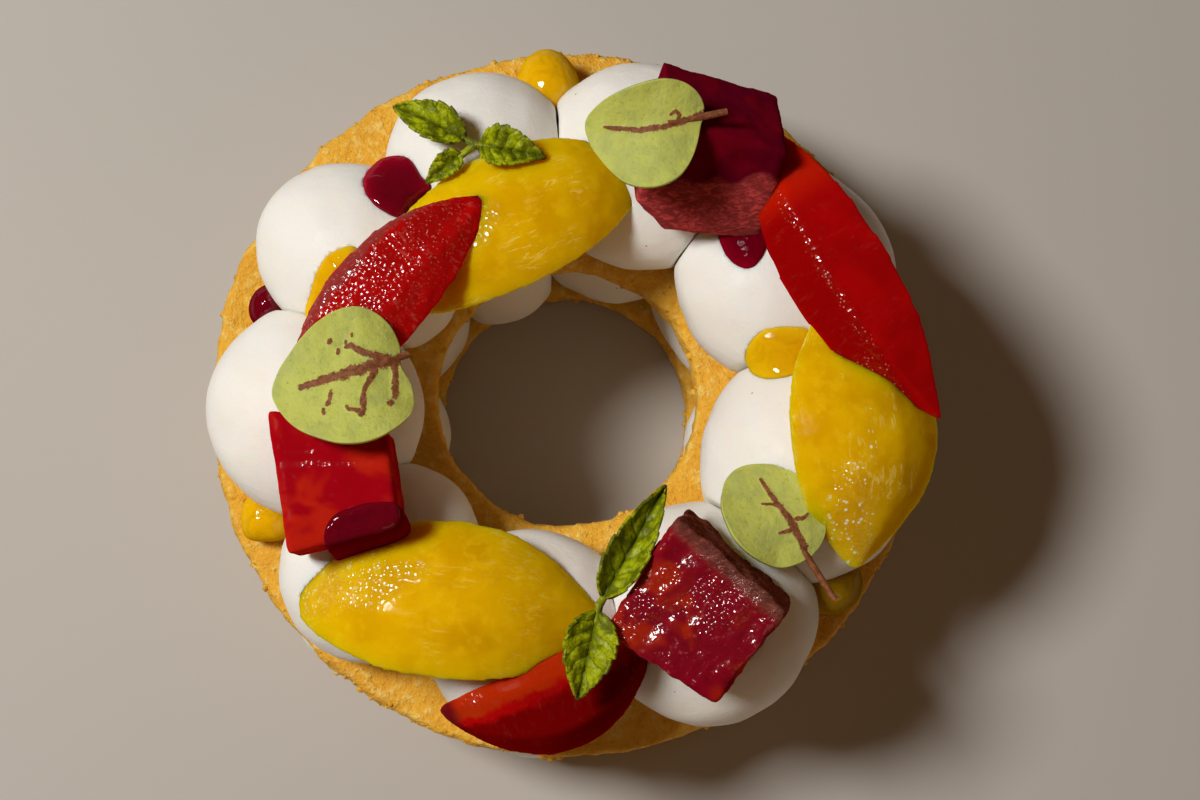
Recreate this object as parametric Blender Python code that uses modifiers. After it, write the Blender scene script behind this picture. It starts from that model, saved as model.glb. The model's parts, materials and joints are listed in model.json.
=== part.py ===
"""A ring-shaped fruit tart.

Two crisp biscuit rings hold a layer of piped cream domes between them. A second
layer of domes stands on the upper ring and carries wedges and cubes of fruit,
leaves and drops of gel.

Metres, +Z up. The origin is on the ring's axis, on the surface that the tart
stands on. Angles are in degrees, anticlockwise from +X as seen from above.
"""

import math

import bmesh
import bpy
from mathutils import Euler, Matrix, Vector, noise
from mathutils.bvhtree import BVHTree

MM = 0.001
GAP = 0.3 * MM  # air between pieces that touch
MERGE = 0.01 * MM

# ---------------------------------------------------------------- the ring
RING_OUTER = 55.0 * MM
RING_INNER = 20.1 * MM
BISCUIT = 5.0 * MM
BISCUIT_CHAMFER = 1.1 * MM
BISCUIT_STEPS = 56
RIM_UNEVEN = 0.45 * MM
RIM_GRAIN = 5.0 * MM

LOWER_CREAM = 18.0 * MM
UPPER_BISCUIT_Z = BISCUIT + LOWER_CREAM
UPPER_CREAM_Z = UPPER_BISCUIT_Z + BISCUIT

# Domes of the upper layer: first and last edge in degrees, then inner reach,
# outer reach and height in millimetres.
UPPER_DOMES = [
    (49.7, 92.4, 20.4, 52.4, 20.6),
    (92.4, 130.2, 21.5, 51.4, 20.0),
    (130.2, 165.5, 20.7, 53.8, 19.6),
    (165.5, 205.5, 21.8, 54.4, 20.4),
    (205.5, 241.0, 22.6, 54.0, 19.4),
    (241.0, 281.6, 21.9, 52.6, 20.0),
    (281.6, 320.9, 22.6, 56.4, 20.4),
    (320.9, 366.5, 21.6, 54.4, 20.5),
    (366.5, 409.7, 20.7, 54.2, 20.0),
]

# Domes of the lower layer: middle in degrees, inner and outer reach in millimetres.
LOWER_DOMES = [
    (34, 19.6, 55.6),
    (76, 18.8, 55.2),
    (118, 16.6, 55.4),
    (151, 19.4, 55.0),
    (189, 18.8, 56.2),
    (226, 19.8, 56.0),
    (264, 20.0, 55.9),
    (305, 19.6, 55.4),
    (350, 19.6, 56.2),
]

UPPER_WIDEST = 0.42  # height of the widest ring, of the whole height
UPPER_FOOT = 35.0  # how far round the dome's side turns in under its widest ring
LOWER_FOOT = 34.0
DOME_PRESS = 1.18  # how far neighbours would overlap before they press flat
DOME_PEAK = 0.05  # nozzle's tip, of the whole height
DOME_UNEVEN = 0.5 * MM
DOME_GRAIN = 11.0 * MM
UPPER_DOME_STEPS = 18
UPPER_DOME_RINGS = 6
LOWER_DOME_STEPS = 16
LOWER_DOME_RINGS = 4

# ---------------------------------------------------------------- toppings
# Wedges: x, y, z of the middle in mm; heading, roll and pitch in degrees; length,
# width and height in mm; how pointed the back and the front end are; bow in mm.
YELLOW_WEDGES = [
    (-8.8, 22.8, 48.6, 28, -6, 2, 43.7, 21.4, 13.0, 0.06, 0.14, 0.0),
    (-16.7, -32.8, 48.8, -6, -10, -1, 45.9, 23.6, 13.5, 0.15, 0.50, -0.7),
    (42.6, -8.6, 48.2, -85, -14, 4, 39.1, 23.4, 13.5, 0.45, 0.62, -1.7),
]
RED_WEDGES = [
    (-27.7, 10.1, 54.0, 51, 8, -4, 43.4, 14.9, 12.0, 0.33, 0.43, -2.4),
    (-1.0, -46.1, 44.6, 24, 28, -1, 33.8, 16.0, 12.5, 0.33, 0.18, 4.2),
    (39.4, 14.7, 51.6, -59, 14, 1, 50.8, 16.0, 13.0, 0.37, 0.70, 1.4),
]
WEDGE_HALF_ANGLE = 46.0
WEDGE_CRISPNESS = 14
WEDGE_COLUMNS = 14
WEDGE_ROWS = 10

# Cubes: middle in mm; tilt about x and y in degrees; height in mm; then the heading
# of each side in degrees and its distance from the middle in mm.
RED_CUBES = [
    (-32.6, -16.7, 52.6, 2, -3, 11.0, [(8, 8.1), (80, 8.8), (189, 8.1), (284, 7.9)]),
    (18.2, -33.7, 52.6, 10, -10, 14.0, [(48, 9.0), (322, 10.2), (236, 9.0), (145, 9.0)]),
    (20.6, 32.0, 50.4, 50, 2, 15.0, [(350, 9.0), (72, 9.6), (165, 10.2), (221, 8.0), (264, 8.4)]),
]
CUBE_CRISPNESS = 16
CUBE_CUTS = 3
FRUIT_UNEVEN = 0.35 * MM
FRUIT_GRAIN = 5.0 * MM

# Drops of gel: middle in mm; heading in degrees; length, width and height in mm;
# how pointed the front end is. A drop lower than the cream stands on the biscuit.
YELLOW_DROPS = [
    (-3.1, 47.2, 34.0, -84, 12.6, 9.8, 11.0, 0.60),
    (-34.6, 14.6, 45.4, 55, 14.6, 9.0, 7.0, 0.10),
    (30.6, 4.3, 44.4, 10, 9.0, 8.2, 6.4, 0.20),
    (-45.6, -19.4, 31.4, 0, 7.6, 7.0, 6.4, 0.10),
    (39.6, -28.9, 33.0, -20, 10.4, 9.6, 9.0, 0.15),
]
RED_DROPS = [
    (-26.0, 28.8, 45.4, -30, 10.6, 9.4, 6.4, 0.45),
    (-45.8, 13.4, 31.6, 60, 7.4, 6.0, 6.4, 0.20),
    (26.0, 20.0, 46.2, 80, 8.6, 7.6, 6.0, 0.10),
    (-29.8, -23.0, 59.0, 15, 12.0, 7.6, 5.0, 0.20),
]
DROP_COLUMNS = 10
DROP_ROWS = 6
DROP_CRISPNESS = 5
DROP_FLOOR = UPPER_CREAM_Z + GAP

# Round leaves: x, y of the middle in mm; heading of the tip, roll and pitch in
# degrees; length, width and stem length in mm.
ROUND_LEAVES = [
    (-32.1, -2.2, 194, 8, -4, 20.2, 20.2, 1.5),
    (10.4, 32.1, 187, -10, 6, 17.2, 15.2, 4.0),
]
# The leaf that is tucked under a wedge, and the height of its middle in mm.
TUCKED_LEAF = (29.2, -19.7, 122, 12, 8, 17.6, 17.0, 7.0)
TUCKED_LEAF_HEIGHT = 49.4
ROUND_LEAF_COLUMNS = 10
ROUND_LEAF_ROWS = 6
LEAF_CUP = 1.2 * MM  # how far the blade's sides stand above its midrib
LEAF_ARCH = 1.6 * MM  # how far its base and tip hang below its middle
LEAF_WAVE = 0.6 * MM
LEAF_WAVE_GRAIN = 6.0 * MM

# Sprigs of mint: x, y of the joint in mm; then for each leaf its heading and its
# rise in degrees, stalk length, blade length and width in mm.
MINT_SPRIGS = [
    (-13.8, 33.8, [(152, -8, 1.8, 12.4, 6.8), (-12, 12, 0.8, 9.6, 6.8), (216, -10, 2.6, 6.6, 4.2)]),
    (4.2, -33.6, [(61, 4, 1.2, 18.0, 8.0), (257, -6, 1.0, 12.6, 8.4)]),
]
MINT_COLUMNS = 8
MINT_ROWS = 2
MINT_SERRATION = 0.10  # depth of the teeth, of the blade's half width
MINT_FOLD = 0.28  # rise of the blade's sides, of its half width
MINT_DROOP = 0.10  # fall of the tip, of the blade's length
MINT_WAVE = 0.5 * MM

LEAF_THICKNESS = 0.6 * MM
STEM_RADIUS = 0.6 * MM
START_HEIGHT = 90.0 * MM  # leaves are lowered from here until they touch
CLEARANCE = 0.35 * MM

# ---------------------------------------------------------------- materials
COLOURS = {  # linear red, green and blue, then roughness
    "biscuit": ((0.62, 0.30, 0.08), 0.85),
    "cream": ((0.86, 0.80, 0.66), 0.45),
    "yellow_fruit": ((0.72, 0.40, 0.01), 0.20),
    "red_fruit": ((0.46, 0.01, 0.01), 0.20),
    "wine_fruit": ((0.26, 0.01, 0.02), 0.25),
    "yellow_gel": ((0.85, 0.44, 0.01), 0.10),
    "red_gel": ((0.25, 0.002, 0.015), 0.10),
    "round_leaf": ((0.42, 0.50, 0.13), 0.50),
    "mint": ((0.16, 0.34, 0.01), 0.45),
}


def clear_scene():
    for obj in list(bpy.data.objects):
        bpy.data.objects.remove(obj, do_unlink=True)


def make_collection(name):
    collection = bpy.data.collections.new(name)
    bpy.context.scene.collection.children.link(collection)
    return collection


def make_materials():
    materials = {}
    for name, (colour, roughness) in COLOURS.items():
        material = bpy.data.materials.new(name)
        material.use_nodes = True
        shader = material.node_tree.nodes["Principled BSDF"]
        shader.inputs["Base Color"].default_value = (*colour, 1.0)
        shader.inputs["Roughness"].default_value = roughness
        shader.inputs["Metallic"].default_value = 0.0
        materials[name] = material
    return materials


def millimetres(*values):
    return Vector([value * MM for value in values])


def finished_mesh(obj):
    """The mesh that an object's modifiers leave; the object itself is removed."""
    depsgraph = bpy.context.evaluated_depsgraph_get()
    mesh = bpy.data.meshes.new_from_object(obj.evaluated_get(depsgraph))
    bpy.data.objects.remove(obj, do_unlink=True)
    return mesh


def helper_object(name, data):
    obj = bpy.data.objects.new(name, data)
    bpy.context.scene.collection.objects.link(obj)
    return obj


class Tart:
    """The collections and materials that the pieces go into."""

    def __init__(self):
        self.pieces = make_collection("Fruit tart")
        self.cutters = make_collection("Cutters")
        self.materials = make_materials()

    def add(self, name, mesh, material, location=(0, 0, 0), rotation=(0, 0, 0)):
        mesh.name = name
        mesh.materials.clear()
        mesh.materials.append(self.materials[material])
        obj = bpy.data.objects.new(name, mesh)
        obj.location = location
        obj.rotation_euler = rotation
        self.pieces.objects.link(obj)
        return obj

    def swollen(self, obj):
        """A cutter: the same solid, larger by the gap that touching pieces keep."""
        cutter = bpy.data.objects.new(obj.name + "_room", obj.data)
        cutter.matrix_basis = obj.matrix_basis
        cutter.hide_render = True
        cutter.display_type = "WIRE"
        grow = cutter.modifiers.new("Grow", "DISPLACE")
        grow.mid_level = 0.0
        grow.strength = GAP
        self.cutters.objects.link(cutter)
        return cutter


# ---------------------------------------------------------------- shape tools
def turned_mesh(profile, steps, closed):
    """Solid turned about Z from a profile that runs down the outer side."""
    mesh = bpy.data.meshes.new("profile")
    edges = [(i, i + 1) for i in range(len(profile) - 1)]
    if closed:
        edges.append((len(profile) - 1, 0))
    mesh.from_pydata([(radius, 0, height) for radius, height in profile], edges, [])
    obj = helper_object("turned", mesh)
    screw = obj.modifiers.new("Turn", "SCREW")
    screw.steps = screw.render_steps = steps
    screw.use_merge_vertices = True
    screw.merge_threshold = MERGE
    return finished_mesh(obj)


def push_by_noise(bm, amount, grain, seed, floor):
    """Uneven surface: vertices above the floor move along their normals."""
    bm.normal_update()
    shift = Vector((17.3, 5.1, 9.7)) * seed
    moves = []
    for vertex in bm.verts:
        if vertex.co.z > floor:
            moves.append((vertex, vertex.normal * amount * noise.noise(vertex.co / grain + shift)))
    for vertex, move in moves:
        vertex.co += move


def slice_off(bm, point, normal):
    """Cut away what lies on the normal's side of a plane and close the cut."""
    geometry = bm.verts[:] + bm.edges[:] + bm.faces[:]
    bmesh.ops.bisect_plane(bm, geom=geometry, plane_co=point, plane_no=normal, clear_outer=True)
    rim = [edge for edge in bm.edges if edge.is_boundary]
    if rim:
        bmesh.ops.holes_fill(bm, edges=rim)


def soft_reach(direction, skin_middle, skin_radii, cuts, crispness):
    """Distance from the middle to the surface of an ellipsoid with flat, soft-edged cuts.

    A cut is its outward normal and its distance from the middle.
    """
    ray = Vector([direction[i] / skin_radii[i] for i in range(3)])
    middle = Vector([skin_middle[i] / skin_radii[i] for i in range(3)])
    half = ray.dot(middle)
    skin = (half + math.sqrt(half * half - ray.dot(ray) * (middle.dot(middle) - 1))) / ray.dot(ray)
    total = skin ** -crispness
    for normal, distance in cuts:
        facing = direction.dot(normal)
        if facing > 0:
            total += (facing / distance) ** crispness
    return total ** (-1 / crispness)


def narrow_and_bow(bm, back, front, bow):
    """Point the two ends along X and bend the ends sideways."""
    half = max(abs(vertex.co.x) for vertex in bm.verts)
    for vertex in bm.verts:
        along = vertex.co.x / half
        pointed = front if along > 0 else back
        narrowing = 1 - pointed * abs(along) ** 3
        vertex.co.y = vertex.co.y * narrowing + bow * along * along
        vertex.co.z *= narrowing


def mesh_from(bm):
    """A mesh of flat triangles, so that every cut is exact."""
    bmesh.ops.triangulate(bm, faces=bm.faces)
    mesh = bpy.data.meshes.new("mesh")
    bm.to_mesh(mesh)
    bm.free()
    return mesh


def smooth(mesh, angle=40):
    mesh.shade_smooth()
    mesh.set_sharp_from_angle(angle=math.radians(angle))


# ---------------------------------------------------------------- biscuits
def biscuit_mesh(bottom, seed):
    """A flat ring with worn edges and an uneven, crumbly rim."""
    top = bottom + BISCUIT
    edge = BISCUIT_CHAMFER
    profile = [
        (RING_OUTER - edge, top),
        (RING_OUTER, top - edge),
        (RING_OUTER, bottom + edge),
        (RING_OUTER - edge, bottom),
        (RING_INNER + edge, bottom),
        (RING_INNER, bottom + edge),
        (RING_INNER, top - edge),
        (RING_INNER + edge, top),
    ]
    bm = bmesh.new()
    bm.from_mesh(turned_mesh(profile, BISCUIT_STEPS, closed=True))
    shift = Vector((3.7, 8.9, 1.3)) * seed
    for vertex in bm.verts:
        outward = Vector((vertex.co.x, vertex.co.y, 0)).normalized()
        vertex.co += outward * RIM_UNEVEN * noise.noise(vertex.co / RIM_GRAIN + shift)
    mesh = mesh_from(bm)
    smooth(mesh)
    return mesh


# ---------------------------------------------------------------- cream
def upper_dome_profile(rings):
    """Unit dome: full, widest below half its height, with the nozzle's tip on top."""
    foot = math.radians(UPPER_FOOT)
    points = []
    for i in range(rings + 1):
        turn = math.pi / 2 - (math.pi / 2 + foot) * i / rings
        radius = math.cos(turn) if i else 0.0
        rise = (1 - UPPER_WIDEST) if turn > 0 else UPPER_WIDEST / math.sin(foot)
        height = UPPER_WIDEST + rise * math.sin(turn) + DOME_PEAK * (1 - radius) ** 6
        points.append((radius, height))
    points[-1] = (points[-1][0], 0.0)
    points.append((0.0, 0.0))
    return points


def lower_dome_profile(rings):
    """Unit dome squeezed flat between the two biscuits."""
    foot = math.radians(LOWER_FOOT)
    points = [(0.0, 1.0)]
    for i in range(rings + 1):
        turn = foot - 2 * foot * i / rings
        points.append((math.cos(turn), 0.5 + 0.5 * math.sin(turn) / math.sin(foot)))
    points.append((0.0, 0.0))
    return points


def dome_mesh(profile, steps, first, last, inner, outer, bottom, height, seed):
    """One piped dome, stretched along the radius and pressed flat by its neighbours."""
    middle = math.radians((first + last) / 2)
    half_sector = math.radians((last - first) / 2)
    centre = (inner + outer) / 2
    bm = bmesh.new()
    bm.from_mesh(turned_mesh(profile, steps, closed=False))
    across = centre * math.tan(half_sector) * DOME_PRESS
    bmesh.ops.scale(bm, verts=bm.verts, vec=((outer - inner) / 2, across, height))
    push_by_noise(bm, DOME_UNEVEN, DOME_GRAIN, seed, floor=GAP)
    place = Matrix.Rotation(middle, 4, "Z") @ Matrix.Translation((centre, 0, bottom))
    bmesh.ops.transform(bm, matrix=place, verts=bm.verts)
    for edge, side in ((first, 1), (last, -1)):
        turn = math.radians(edge)
        outward = Vector((math.sin(turn), -math.cos(turn), 0)) * side
        slice_off(bm, outward * -GAP / 2, outward)
    mesh = mesh_from(bm)
    smooth(mesh)
    return mesh


def add_cream(tart):
    """Both layers of domes, with the gap that touching pieces keep above and below."""
    domes = []
    lower_profile = lower_dome_profile(LOWER_DOME_RINGS)
    count = len(LOWER_DOMES)
    for i, (middle, inner, outer) in enumerate(LOWER_DOMES):
        before = LOWER_DOMES[i - 1][0] - (360 if i == 0 else 0)
        after = LOWER_DOMES[(i + 1) % count][0] + (360 if i == count - 1 else 0)
        mesh = dome_mesh(
            lower_profile, LOWER_DOME_STEPS, (before + middle) / 2, (middle + after) / 2,
            inner * MM, outer * MM, BISCUIT + GAP, LOWER_CREAM - 2 * GAP, seed=i + 20,
        )
        for vertex in mesh.vertices:
            vertex.co.z = min(vertex.co.z, UPPER_BISCUIT_Z - GAP)
        domes.append(tart.add(f"lower_cream_{i + 1}", mesh, "cream"))
    upper_profile = upper_dome_profile(UPPER_DOME_RINGS)
    for i, (first, last, inner, outer, height) in enumerate(UPPER_DOMES):
        mesh = dome_mesh(
            upper_profile, UPPER_DOME_STEPS, first, last, inner * MM, outer * MM,
            UPPER_CREAM_Z + GAP, height * MM, seed=i + 1,
        )
        domes.append(tart.add(f"upper_cream_{i + 1}", mesh, "cream"))
    return domes


# ---------------------------------------------------------------- fruit
def wedge_mesh(length, width, height, back, front, bow, seed):
    """A wedge of a long round fruit, skin up, with its stone side cut flat below."""
    half_angle = math.radians(WEDGE_HALF_ANGLE)
    radius = width / 2 / math.sin(half_angle)
    depth = radius - height / 2
    cuts = [(Vector((0, 0, -1)), height / 2)]
    for side in (-1, 1):
        normal = Vector((0, side * math.cos(half_angle), -math.sin(half_angle)))
        cuts.append((normal, depth * math.sin(half_angle)))
    bm = bmesh.new()
    bmesh.ops.create_uvsphere(bm, u_segments=WEDGE_COLUMNS, v_segments=WEDGE_ROWS, radius=1)
    bmesh.ops.rotate(bm, verts=bm.verts, matrix=Matrix.Rotation(math.pi / 2, 3, "Y"))
    for vertex in bm.verts:
        stretched = Vector((vertex.co.x * length, vertex.co.y * width, vertex.co.z * height))
        direction = stretched.normalized()
        vertex.co = direction * soft_reach(
            direction, (0, 0, -depth), (length / 2, radius, radius), cuts, WEDGE_CRISPNESS
        )
    narrow_and_bow(bm, back, front, bow)
    push_by_noise(bm, FRUIT_UNEVEN, FRUIT_GRAIN, seed, floor=-math.inf)
    mesh = mesh_from(bm)
    smooth(mesh)
    return mesh


def add_wedges(tart, kind, material, wedges, seed):
    pieces = []
    for i, (x, y, z, heading, roll, pitch, length, width, height, back, front, bow) in enumerate(wedges):
        mesh = wedge_mesh(length * MM, width * MM, height * MM, back, front, bow * MM, seed + i)
        turn = [math.radians(angle) for angle in (roll, pitch, heading)]
        pieces.append(tart.add(f"{kind}_{i + 1}", mesh, material, millimetres(x, y, z), turn))
    return pieces


def cube_mesh(height, sides, seed):
    """A cut cube with soft edges, four sides at their own headings and uneven faces."""
    bm = bmesh.new()
    bmesh.ops.create_cube(bm, size=2)
    bmesh.ops.subdivide_edges(bm, edges=bm.edges, cuts=CUBE_CUTS, use_grid_fill=True)
    turn = Matrix.Rotation(math.radians(sides[0][0]), 3, "Z")
    bmesh.ops.rotate(bm, verts=bm.verts, matrix=turn)
    cuts = [(Vector((0, 0, 1)), height / 2), (Vector((0, 0, -1)), height / 2)]
    for heading, distance in sides:
        angle = math.radians(heading)
        cuts.append((Vector((math.cos(angle), math.sin(angle), 0)), distance * MM))
    far = (height * 2,) * 3
    for vertex in bm.verts:
        direction = vertex.co.normalized()
        vertex.co = direction * soft_reach(direction, (0, 0, 0), far, cuts, CUBE_CRISPNESS)
    push_by_noise(bm, FRUIT_UNEVEN, FRUIT_GRAIN, seed, floor=-math.inf)
    mesh = mesh_from(bm)
    smooth(mesh)
    return mesh


def add_cubes(tart):
    pieces = []
    for i, (x, y, z, tilt_x, tilt_y, height, sides) in enumerate(RED_CUBES):
        mesh = cube_mesh(height * MM, sides, seed=i + 60)
        turn = [math.radians(angle) for angle in (tilt_x, tilt_y, 0)]
        pieces.append(tart.add(f"red_cube_{i + 1}", mesh, "wine_fruit", millimetres(x, y, z), turn))
    return pieces


def drop_mesh(length, width, height, front, floor):
    """A drop of gel, pointed where it was pulled off, flat where it stands on the biscuit."""
    bm = bmesh.new()
    bmesh.ops.create_uvsphere(bm, u_segments=DROP_COLUMNS, v_segments=DROP_ROWS, radius=1)
    bmesh.ops.rotate(bm, verts=bm.verts, matrix=Matrix.Rotation(math.pi / 2, 3, "Y"))
    cuts = [(Vector((0, 0, -1)), min(floor, height / 2))]
    radii = (length / 2, width / 2, height / 2)
    for vertex in bm.verts:
        direction = Vector([vertex.co[i] * radii[i] for i in range(3)]).normalized()
        vertex.co = direction * soft_reach(direction, (0, 0, 0), radii, cuts, DROP_CRISPNESS)
    narrow_and_bow(bm, 0.0, front, 0.0)
    mesh = mesh_from(bm)
    smooth(mesh)
    return mesh


def add_drops(tart, kind, drops):
    pieces = []
    for i, (x, y, z, heading, length, width, height, front) in enumerate(drops):
        mesh = drop_mesh(length * MM, width * MM, height * MM, front, floor=z * MM - DROP_FLOOR)
        turn = (0, 0, math.radians(heading))
        pieces.append(tart.add(f"{kind}_{i + 1}", mesh, kind, millimetres(x, y, z), turn))
    return pieces


# ---------------------------------------------------------------- leaves
def leaf_sheet(columns, rows, point):
    """Open leaf blade; point(along, across) places a grid of 0..1 by -1..1."""
    bm = bmesh.new()
    bmesh.ops.create_grid(bm, x_segments=columns, y_segments=rows, size=1)
    for vertex in bm.verts:
        vertex.co = point((vertex.co.x + 1) / 2, vertex.co.y)
    bmesh.ops.remove_doubles(bm, verts=bm.verts, dist=MERGE)
    return mesh_from(bm)


def thick_leaf(sheet):
    """Both faces of the blade are split into the same triangles."""
    obj = helper_object("blade", sheet)
    solid = obj.modifiers.new("Thickness", "SOLIDIFY")
    solid.thickness = LEAF_THICKNESS
    solid.offset = 0.0
    return helper_object("thick_blade", finished_mesh(obj))


def stem_rod(points, radius):
    """A thin round stem along a few points, with its end caps welded."""
    curve = bpy.data.curves.new("stem", "CURVE")
    curve.dimensions = "3D"
    curve.bevel_depth = radius
    curve.bevel_resolution = 1
    curve.use_fill_caps = True
    spline = curve.splines.new("POLY")
    spline.points.add(len(points) - 1)
    for target, point in zip(spline.points, points):
        target.co = (*point, 1)
    bm = bmesh.new()
    bm.from_mesh(finished_mesh(helper_object("stem", curve)))
    bmesh.ops.remove_doubles(bm, verts=bm.verts, dist=MERGE)
    return helper_object("stem", mesh_from(bm))


def joined_mesh(solids):
    """Blades and stems of one leaf or sprig, joined into one solid."""
    first, others = solids[0], solids[1:]
    union = make_collection("Union")
    for obj in others:
        union.objects.link(obj)
    join = first.modifiers.new("Join", "BOOLEAN")
    join.operation = "UNION"
    join.operand_type = "COLLECTION"
    join.collection = union
    mesh = finished_mesh(first)
    for obj in others:
        bpy.data.objects.remove(obj, do_unlink=True)
    bpy.data.collections.remove(union)
    bm = bmesh.new()
    bm.from_mesh(mesh)
    return mesh_from(bm)


def round_leaf_mesh(length, width, stem, seed):
    """A nearly round, wavy leaf; its middle is the origin and its tip is at +X."""

    def point(along, across):
        eased = (1 - math.cos(math.pi * along)) / 2
        half_width = width * math.sqrt(max(0.0, eased * (1 - eased)))
        x = length * (eased - 0.5)
        y = half_width * across
        cup = LEAF_CUP * across * across * half_width / (width / 2)
        arch = -LEAF_ARCH * (2 * eased - 1) ** 2
        wave = LEAF_WAVE * noise.noise(Vector((x, y, 0)) / LEAF_WAVE_GRAIN + Vector((seed, 0, 0)))
        return Vector((x, y, cup + arch + wave))

    blade = thick_leaf(leaf_sheet(ROUND_LEAF_COLUMNS, ROUND_LEAF_ROWS, point))
    start = point(0.35, 0.0)
    base = point(0.06, 0.0)
    end = point(0.0, 0.0) + Vector((-stem, 0, -0.15 * stem))
    return joined_mesh([blade, stem_rod([start, base, end], STEM_RADIUS)])


def mint_leaf(stalk, length, width, heading, rise, seed):
    """A toothed mint blade that starts at the end of its stalk."""

    def point(along, across):
        tooth = 1 + MINT_SERRATION * math.cos(math.pi * MINT_COLUMNS * along)
        outline = math.sin(math.pi * along ** 0.75) ** 0.8 if along < 1 else 0.0
        half_width = width / 2 * outline * tooth
        fold = MINT_FOLD * half_width * abs(across)
        droop = -MINT_DROOP * length * along * along
        wave = MINT_WAVE * noise.noise(Vector((along * 5, across * 2, seed)))
        return Vector((stalk + length * along, half_width * across, fold + droop + wave))

    blade = thick_leaf(leaf_sheet(MINT_COLUMNS, MINT_ROWS, point))
    rod = stem_rod([Vector((-0.4 * MM, 0, 0)), point(0.04, 0), point(0.3, 0)], STEM_RADIUS)
    turn = Euler((0, -math.radians(rise), math.radians(heading))).to_matrix().to_4x4()
    for obj in (blade, rod):
        obj.data.transform(turn)
    return [blade, rod]


def world_surface(objects):
    """Corners and faces of the finished objects, in world space."""
    depsgraph = bpy.context.evaluated_depsgraph_get()
    corners, faces = [], []
    for obj in objects:
        finished = obj.evaluated_get(depsgraph)
        mesh = finished.to_mesh()
        first = len(corners)
        corners += [obj.matrix_basis @ vertex.co for vertex in mesh.vertices]
        faces += [[first + index for index in face.vertices] for face in mesh.polygons]
        finished.to_mesh_clear()
    return corners, faces


def settle(obj, below):
    """Lower a leaf from above until it is about to touch what lies under it."""
    down = Vector((0, 0, -1))
    obj.location.z = START_HEIGHT
    leaf_corners, leaf_faces = world_surface([obj])
    under_corners, under_faces = world_surface(below)
    under_tree = BVHTree.FromPolygons(under_corners, under_faces)
    leaf_tree = BVHTree.FromPolygons(leaf_corners, leaf_faces)
    room = [under_tree.ray_cast(corner, down)[3] for corner in leaf_corners]
    room += [leaf_tree.ray_cast(corner, -down)[3] for corner in under_corners]
    obj.location.z -= min(distance for distance in room if distance is not None) - CLEARANCE


def add_round_leaf(tart, number, size, z):
    x, y, heading, roll, pitch, length, width, stem = size
    mesh = round_leaf_mesh(length * MM, width * MM, stem * MM, seed=number + 79)
    turn = [math.radians(angle) for angle in (roll, pitch, heading)]
    return tart.add(f"round_leaf_{number}", mesh, "round_leaf", millimetres(x, y, z), turn)


def add_leaves(tart, below):
    """Round leaves and mint, each lowered on to the fruit and cream under it."""
    leaves = []
    for i, size in enumerate(ROUND_LEAVES):
        leaf = add_round_leaf(tart, i + 1, size, z=0)
        settle(leaf, below)
        leaves.append(leaf)
    for i, (x, y, blades) in enumerate(MINT_SPRIGS):
        solids = []
        for j, (heading, rise, stalk, length, width) in enumerate(blades):
            seed = 10 * i + j
            solids += mint_leaf(stalk * MM, length * MM, width * MM, heading, rise, seed)
        mesh = joined_mesh(solids)
        sprig = tart.add(f"mint_sprig_{i + 1}", mesh, "mint", millimetres(x, y, 0))
        settle(sprig, below + leaves)
        leaves.append(sprig)
    return leaves


# ---------------------------------------------------------------- assembly
def world_box(obj):
    corners = [obj.matrix_basis @ vertex.co for vertex in obj.data.vertices]
    low = Vector([min(corner[i] for corner in corners) for i in range(3)])
    high = Vector([max(corner[i] for corner in corners) for i in range(3)])
    return low, high


def boxes_meet(one, other):
    low_one, high_one = world_box(one)
    low_other, high_other = world_box(other)
    return all(low_one[i] < high_other[i] + GAP and low_other[i] < high_one[i] + GAP for i in range(3))


def connected_bodies(bm):
    """The vertices of each separate body in a mesh."""
    bodies = []
    waiting = set(bm.verts)
    while waiting:
        body, edge = set(), [waiting.pop()]
        while edge:
            vertex = edge.pop()
            body.add(vertex)
            near = {link.other_vert(vertex) for link in vertex.link_edges} & waiting
            waiting -= near
            edge += near
        bodies.append(body)
    return bodies


def drop_scraps(piece):
    """Apply a piece's cuts and keep its largest body."""
    depsgraph = bpy.context.evaluated_depsgraph_get()
    bm = bmesh.new()
    bm.from_mesh(bpy.data.meshes.new_from_object(piece.evaluated_get(depsgraph)))
    bodies = sorted(connected_bodies(bm), key=len)
    for scrap in bodies[:-1]:
        bmesh.ops.delete(bm, geom=list(scrap), context="VERTS")
    mesh = mesh_from(bm)
    mesh.materials.append(piece.data.materials[0])
    piece.modifiers.clear()
    piece.data = mesh


def press_in(tart, layers):
    """Each piece leaves room for every piece of the layers that lie on it."""
    rooms = []
    for layer in layers:
        for piece in layer:
            for upper, room in rooms:
                if boxes_meet(piece, upper):
                    cut = piece.modifiers.new(f"Room for {upper.name}", "BOOLEAN")
                    cut.operation = "DIFFERENCE"
                    cut.object = room
        rooms += [(piece, tart.swollen(piece)) for piece in layer]
        for piece in layer:
            if piece.modifiers:
                drop_scraps(piece)


def main():
    clear_scene()
    tart = Tart()
    tart.add("lower_biscuit", biscuit_mesh(0.0, seed=1), "biscuit")
    tart.add("upper_biscuit", biscuit_mesh(UPPER_BISCUIT_Z, seed=2), "biscuit")
    cream = add_cream(tart)
    cubes = add_cubes(tart)
    red = add_wedges(tart, "red_wedge", "red_fruit", RED_WEDGES, seed=40)
    yellow = add_wedges(tart, "yellow_wedge", "yellow_fruit", YELLOW_WEDGES, seed=50)
    drops = add_drops(tart, "yellow_gel", YELLOW_DROPS) + add_drops(tart, "red_gel", RED_DROPS)
    tucked = add_round_leaf(tart, len(ROUND_LEAVES) + 1, TUCKED_LEAF, TUCKED_LEAF_HEIGHT)
    press_in(tart, [cubes, red, [tucked], yellow, drops, cream])
    add_leaves(tart, cream + cubes + red + yellow + drops + [tucked])


main()
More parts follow.
